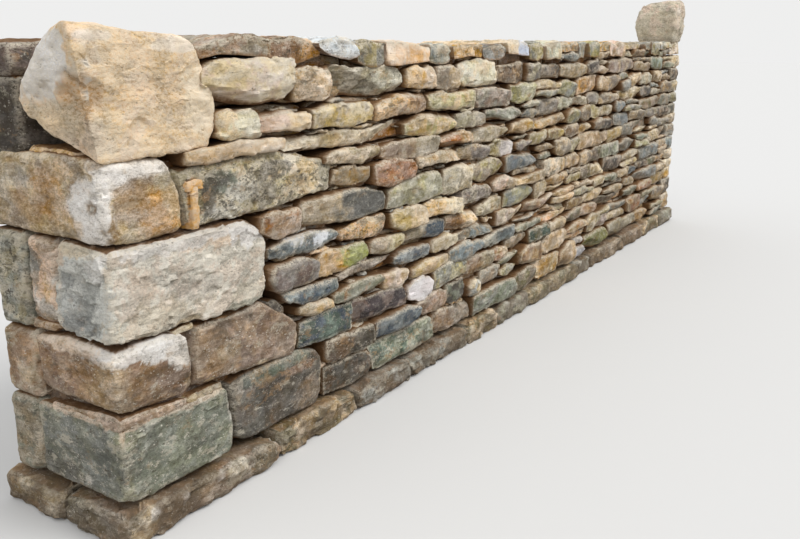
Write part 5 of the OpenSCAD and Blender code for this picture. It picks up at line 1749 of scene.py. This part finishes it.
cornerBoulder = {
    "corners": [
        (0.008, 0.0, 1.057), (0.13, -0.002, 1.061), (0.26, -0.003, 1.066), (0.372, 0.0, 1.067),
        (0.408, 0.0, 1.125), (0.417, 0.0, 1.195), (0.382, -0.003, 1.245), (0.356, -0.003, 1.308),
        (0.340, 0.0, 1.345), (0.322, 0.012, 1.364), (0.215, 0.0, 1.372), (0.105, -0.004, 1.377),
        (0.03, 0.0, 1.390), (-0.028, 0.040, 1.398), (-0.031, 0.004, 1.335), (-0.030, 0.0, 1.27),
        (0.002, -0.006, 1.18), (0.002, 0.10, 1.100), (0.002, 0.250, 1.160), (0.000, 0.294, 1.208),
        (0.000, 0.267, 1.250), (0.000, 0.225, 1.303), (0.000, 0.155, 1.360), (0.40, 0.2, 1.09),
        (0.30, 0.27, 1.10), (0.415, 0.22, 1.18), (0.3, 0.298, 1.2), (0.1, 0.298, 1.2), (0.36, 0.2, 1.30),
        (0.33, 0.15, 1.345), (0.10, 0.17, 1.388), (0.03, 0.14, 1.386),
    ],
    "centre": (0.19, 0.13, 1.23),
    "softness": 90,
    "detail": 7,
    "tone": "creamWarm/creamPink",
    "patches": [  # place, reach, tone, strength
        ((-0.02, 0.17, 1.30), (0.07, 0.15, 0.10), "boulderGrey", 0.95),
        ((-0.02, 0.22, 1.27), (0.07, 0.10, 0.07), "white", 0.6),
        ((-0.02, 0.035, 1.215), (0.075, 0.085, 0.062), "boulderOchre", 0.95),
        ((-0.02, 0.03, 1.27), (0.06, 0.03, 0.02), "brown", 0.5),
        ((0.0, 0.05, 1.13), (0.04, 0.08, 0.05), "tanPink", 0.5),
        ((0.02, 0.0, 1.12), (0.05, 0.05, 0.06), "greyWhite", 0.35),
        ((0.20, 0.0, 1.22), (0.15, 0.05, 0.045), "boulderOchre", 0.35),
        ((0.37, 0.0, 1.20), (0.08, 0.06, 0.10), "creamBright", 0.85),
        ((-0.01, 0.14, 1.16), (0.05, 0.12, 0.05), "tan", 0.75),
        ((0.16, 0.0, 1.31), (0.14, 0.05, 0.04), "honey", 0.25),
        ((0.30, 0.0, 1.345), (0.10, 0.1, 0.022), "white", 0.6),
        ((0.02, 0.0, 1.365), (0.06, 0.1, 0.012), "white", 0.5),
        ((0.0, 0.0, 1.26), (0.008, 0.02, 0.009), "white", 0.95),
        ((0.0, 0.0, 1.225), (0.007, 0.02, 0.012), "white", 0.95)],
    "dents": [
        ((-0.015, 0.03, 1.222), (0.066, 0.08, 0.058), 0.022),
        ((0.14, 0.0, 1.135), (0.035, 0.03, 0.03), 0.007), ((0.30, 0.0, 1.24), (0.09, 0.05, 0.05), 0.006),
        ((-0.01, 0.16, 1.20), (0.05, 0.06, 0.05), 0.010), ((0.20, 0.0, 1.24), (0.05, 0.04, 0.02), 0.005),
    ],
    "rough": (0.007, 0.0045, 0.0010),
    "facets": ((0.085, 0.0018), (0.030, 0.0008)),
    "seed": 91,
}
farBoulder = {
    "corners": [
        (5.06, 0.0, 1.345), (5.28, 0.0, 1.345), (5.29, 0.24, 1.345), (5.06, 0.24, 1.345),
        (5.035, -0.012, 1.42), (5.322, -0.016, 1.43), (5.324, 0.27, 1.42), (5.037, 0.276, 1.42),
        (5.04, -0.018, 1.53), (5.315, -0.016, 1.55), (5.316, 0.26, 1.55), (5.045, 0.27, 1.53),
        (5.085, 0.01, 1.61), (5.19, -0.005, 1.638), (5.27, 0.0, 1.63), (5.27, 0.22, 1.63),
        (5.1, 0.24, 1.61),
    ],
    "centre": (5.18, 0.13, 1.49),
    "softness": 30,
    "detail": 6,
    "tone": "greyTan/tanPink",
    "patches": [((5.1, 0.1, 1.37), (0.2, 0.2, 0.028), "grey", 0.6),
                ((5.06, 0.02, 1.5), (0.04, 0.06, 0.05), "tan", 0.35),
                ((5.14, 0.0, 1.56), (0.05, 0.05, 0.03), "white", 0.5)],
    "dents": [((5.12, -0.01, 1.52), (0.06, 0.04, 0.04), 0.009)],
    "rough": (0.010, 0.006, 0.001),
    "facets": ((0.09, 0.005), (0.04, 0.002)),
    "seed": 92,
}
boulderGrow = 1.02  # makes up for what the softened edges take away
boulderPatches = {"ragged": ((0.05, 0.3, 0), (0.016, 0.25, 0)), "soft": (1.12, 0.8)}


def facetsThrough(corners, centre):
    # Ways that the facets of the smallest hull of the corners face, and how far they lie from its centre
    hull = bmesh.new()
    for corner in corners:
        hull.verts.new(corner)
    bmesh.ops.convex_hull(hull, input=hull.verts)
    bmesh.ops.recalc_face_normals(hull, faces=hull.faces)
    ways = np.array([list(f.normal) for f in hull.faces])
    reach = np.array([f.normal.dot(f.verts[0].co) for f in hull.faces]) - ways @ centre
    hull.free()
    return ways, reach


def ballOf(detail):
    ball = bmesh.new()
    bmesh.ops.create_icosphere(ball, subdivisions=detail, radius=1.0)
    out = np.array([list(v.co) for v in ball.verts])
    triangles = np.array([[v.index for v in f.verts] for f in ball.faces])
    ball.free()
    return out, triangles


def boulderStone(spec):
    dice = np.random.default_rng(spec["seed"])
    centre = np.array(spec["centre"])
    ways, reach = facetsThrough(spec["corners"], centre)
    out, triangles = ballOf(spec["detail"])
    weight = (np.maximum(out @ ways.T, 1e-4) / reach) ** spec["softness"]
    radius = weight.sum(1) ** (-1 / spec["softness"])
    points = centre + out * (boulderGrow * radius[:, None])
    alone = weight.max(1) / weight.sum(1)
    normals = weight @ ways
    normals /= np.linalg.norm(normals, axis=1)[:, None]

    shift = dice.uniform(0, 200, 3)
    lumps, knocks, beds = spec["rough"]
    layers = ((0.12, lumps, 0), (0.045, knocks, 9), ((0.07, 0.07, 0.009), beds, 17))
    points += normals * grains(points, layers, shift)[:, None]
    bent = points + 0.012 * grain(points, 0.05, shift + 5)[:, None]
    for size, height in spec["facets"]:
        points += normals * (height * facets(bent, size, shift + 23))[:, None]
    for spot, size, depth in spec["dents"]:
        far = howFar(points, spot, size) + 0.3 * grain(points, 0.035, shift)
        points -= normals * (depth * smoothStep(1.1, 0.5, far))[:, None]

    colour = paintStone(spec["tone"], np.zeros(len(points)), points, dice)
    ragged = grains(points, boulderPatches["ragged"], shift)
    for spot, size, tone, strength in spec["patches"]:
        far = howFar(points, spot, size) + ragged
        colour = patched(colour, tone, strength, boulderPatches["soft"], far)
    # The lowest 3 cm of the boulder are darker: painted shade under it, with soil
    grime = 0.3 * smoothStep(0.03, 0.0, points[:, 2] - points[:, 2].min())
    wear = smoothStep(0.7, 0.45, alone)
    grid = {"quads": triangles, "caps": []}
    return placed(points, normals, grid, colour, grime, wear, np.ones(len(points)), dice, "plain", 1.0)


makePiece("corner_boulder_stone", [boulderStone(cornerBoulder)], "boulder_stone", ["corner_boulder"], 0.32)
makePiece("far_boulder_stone", [boulderStone(farBoulder)], "boulder_stone", ["far_boulder"], 0.5)
print("boulders set")

# Count the triangles of the pieces and finish
counts = [sum(len(f.vertices) - 2 for f in o.data.polygons) for o in bpy.data.objects if o.type == "MESH"
          and o.name.endswith(("_stones", "_stone", "_block", "_set", "_row", "_fill"))]
print("triangles:", sum(counts), "most in one piece:", max(counts))
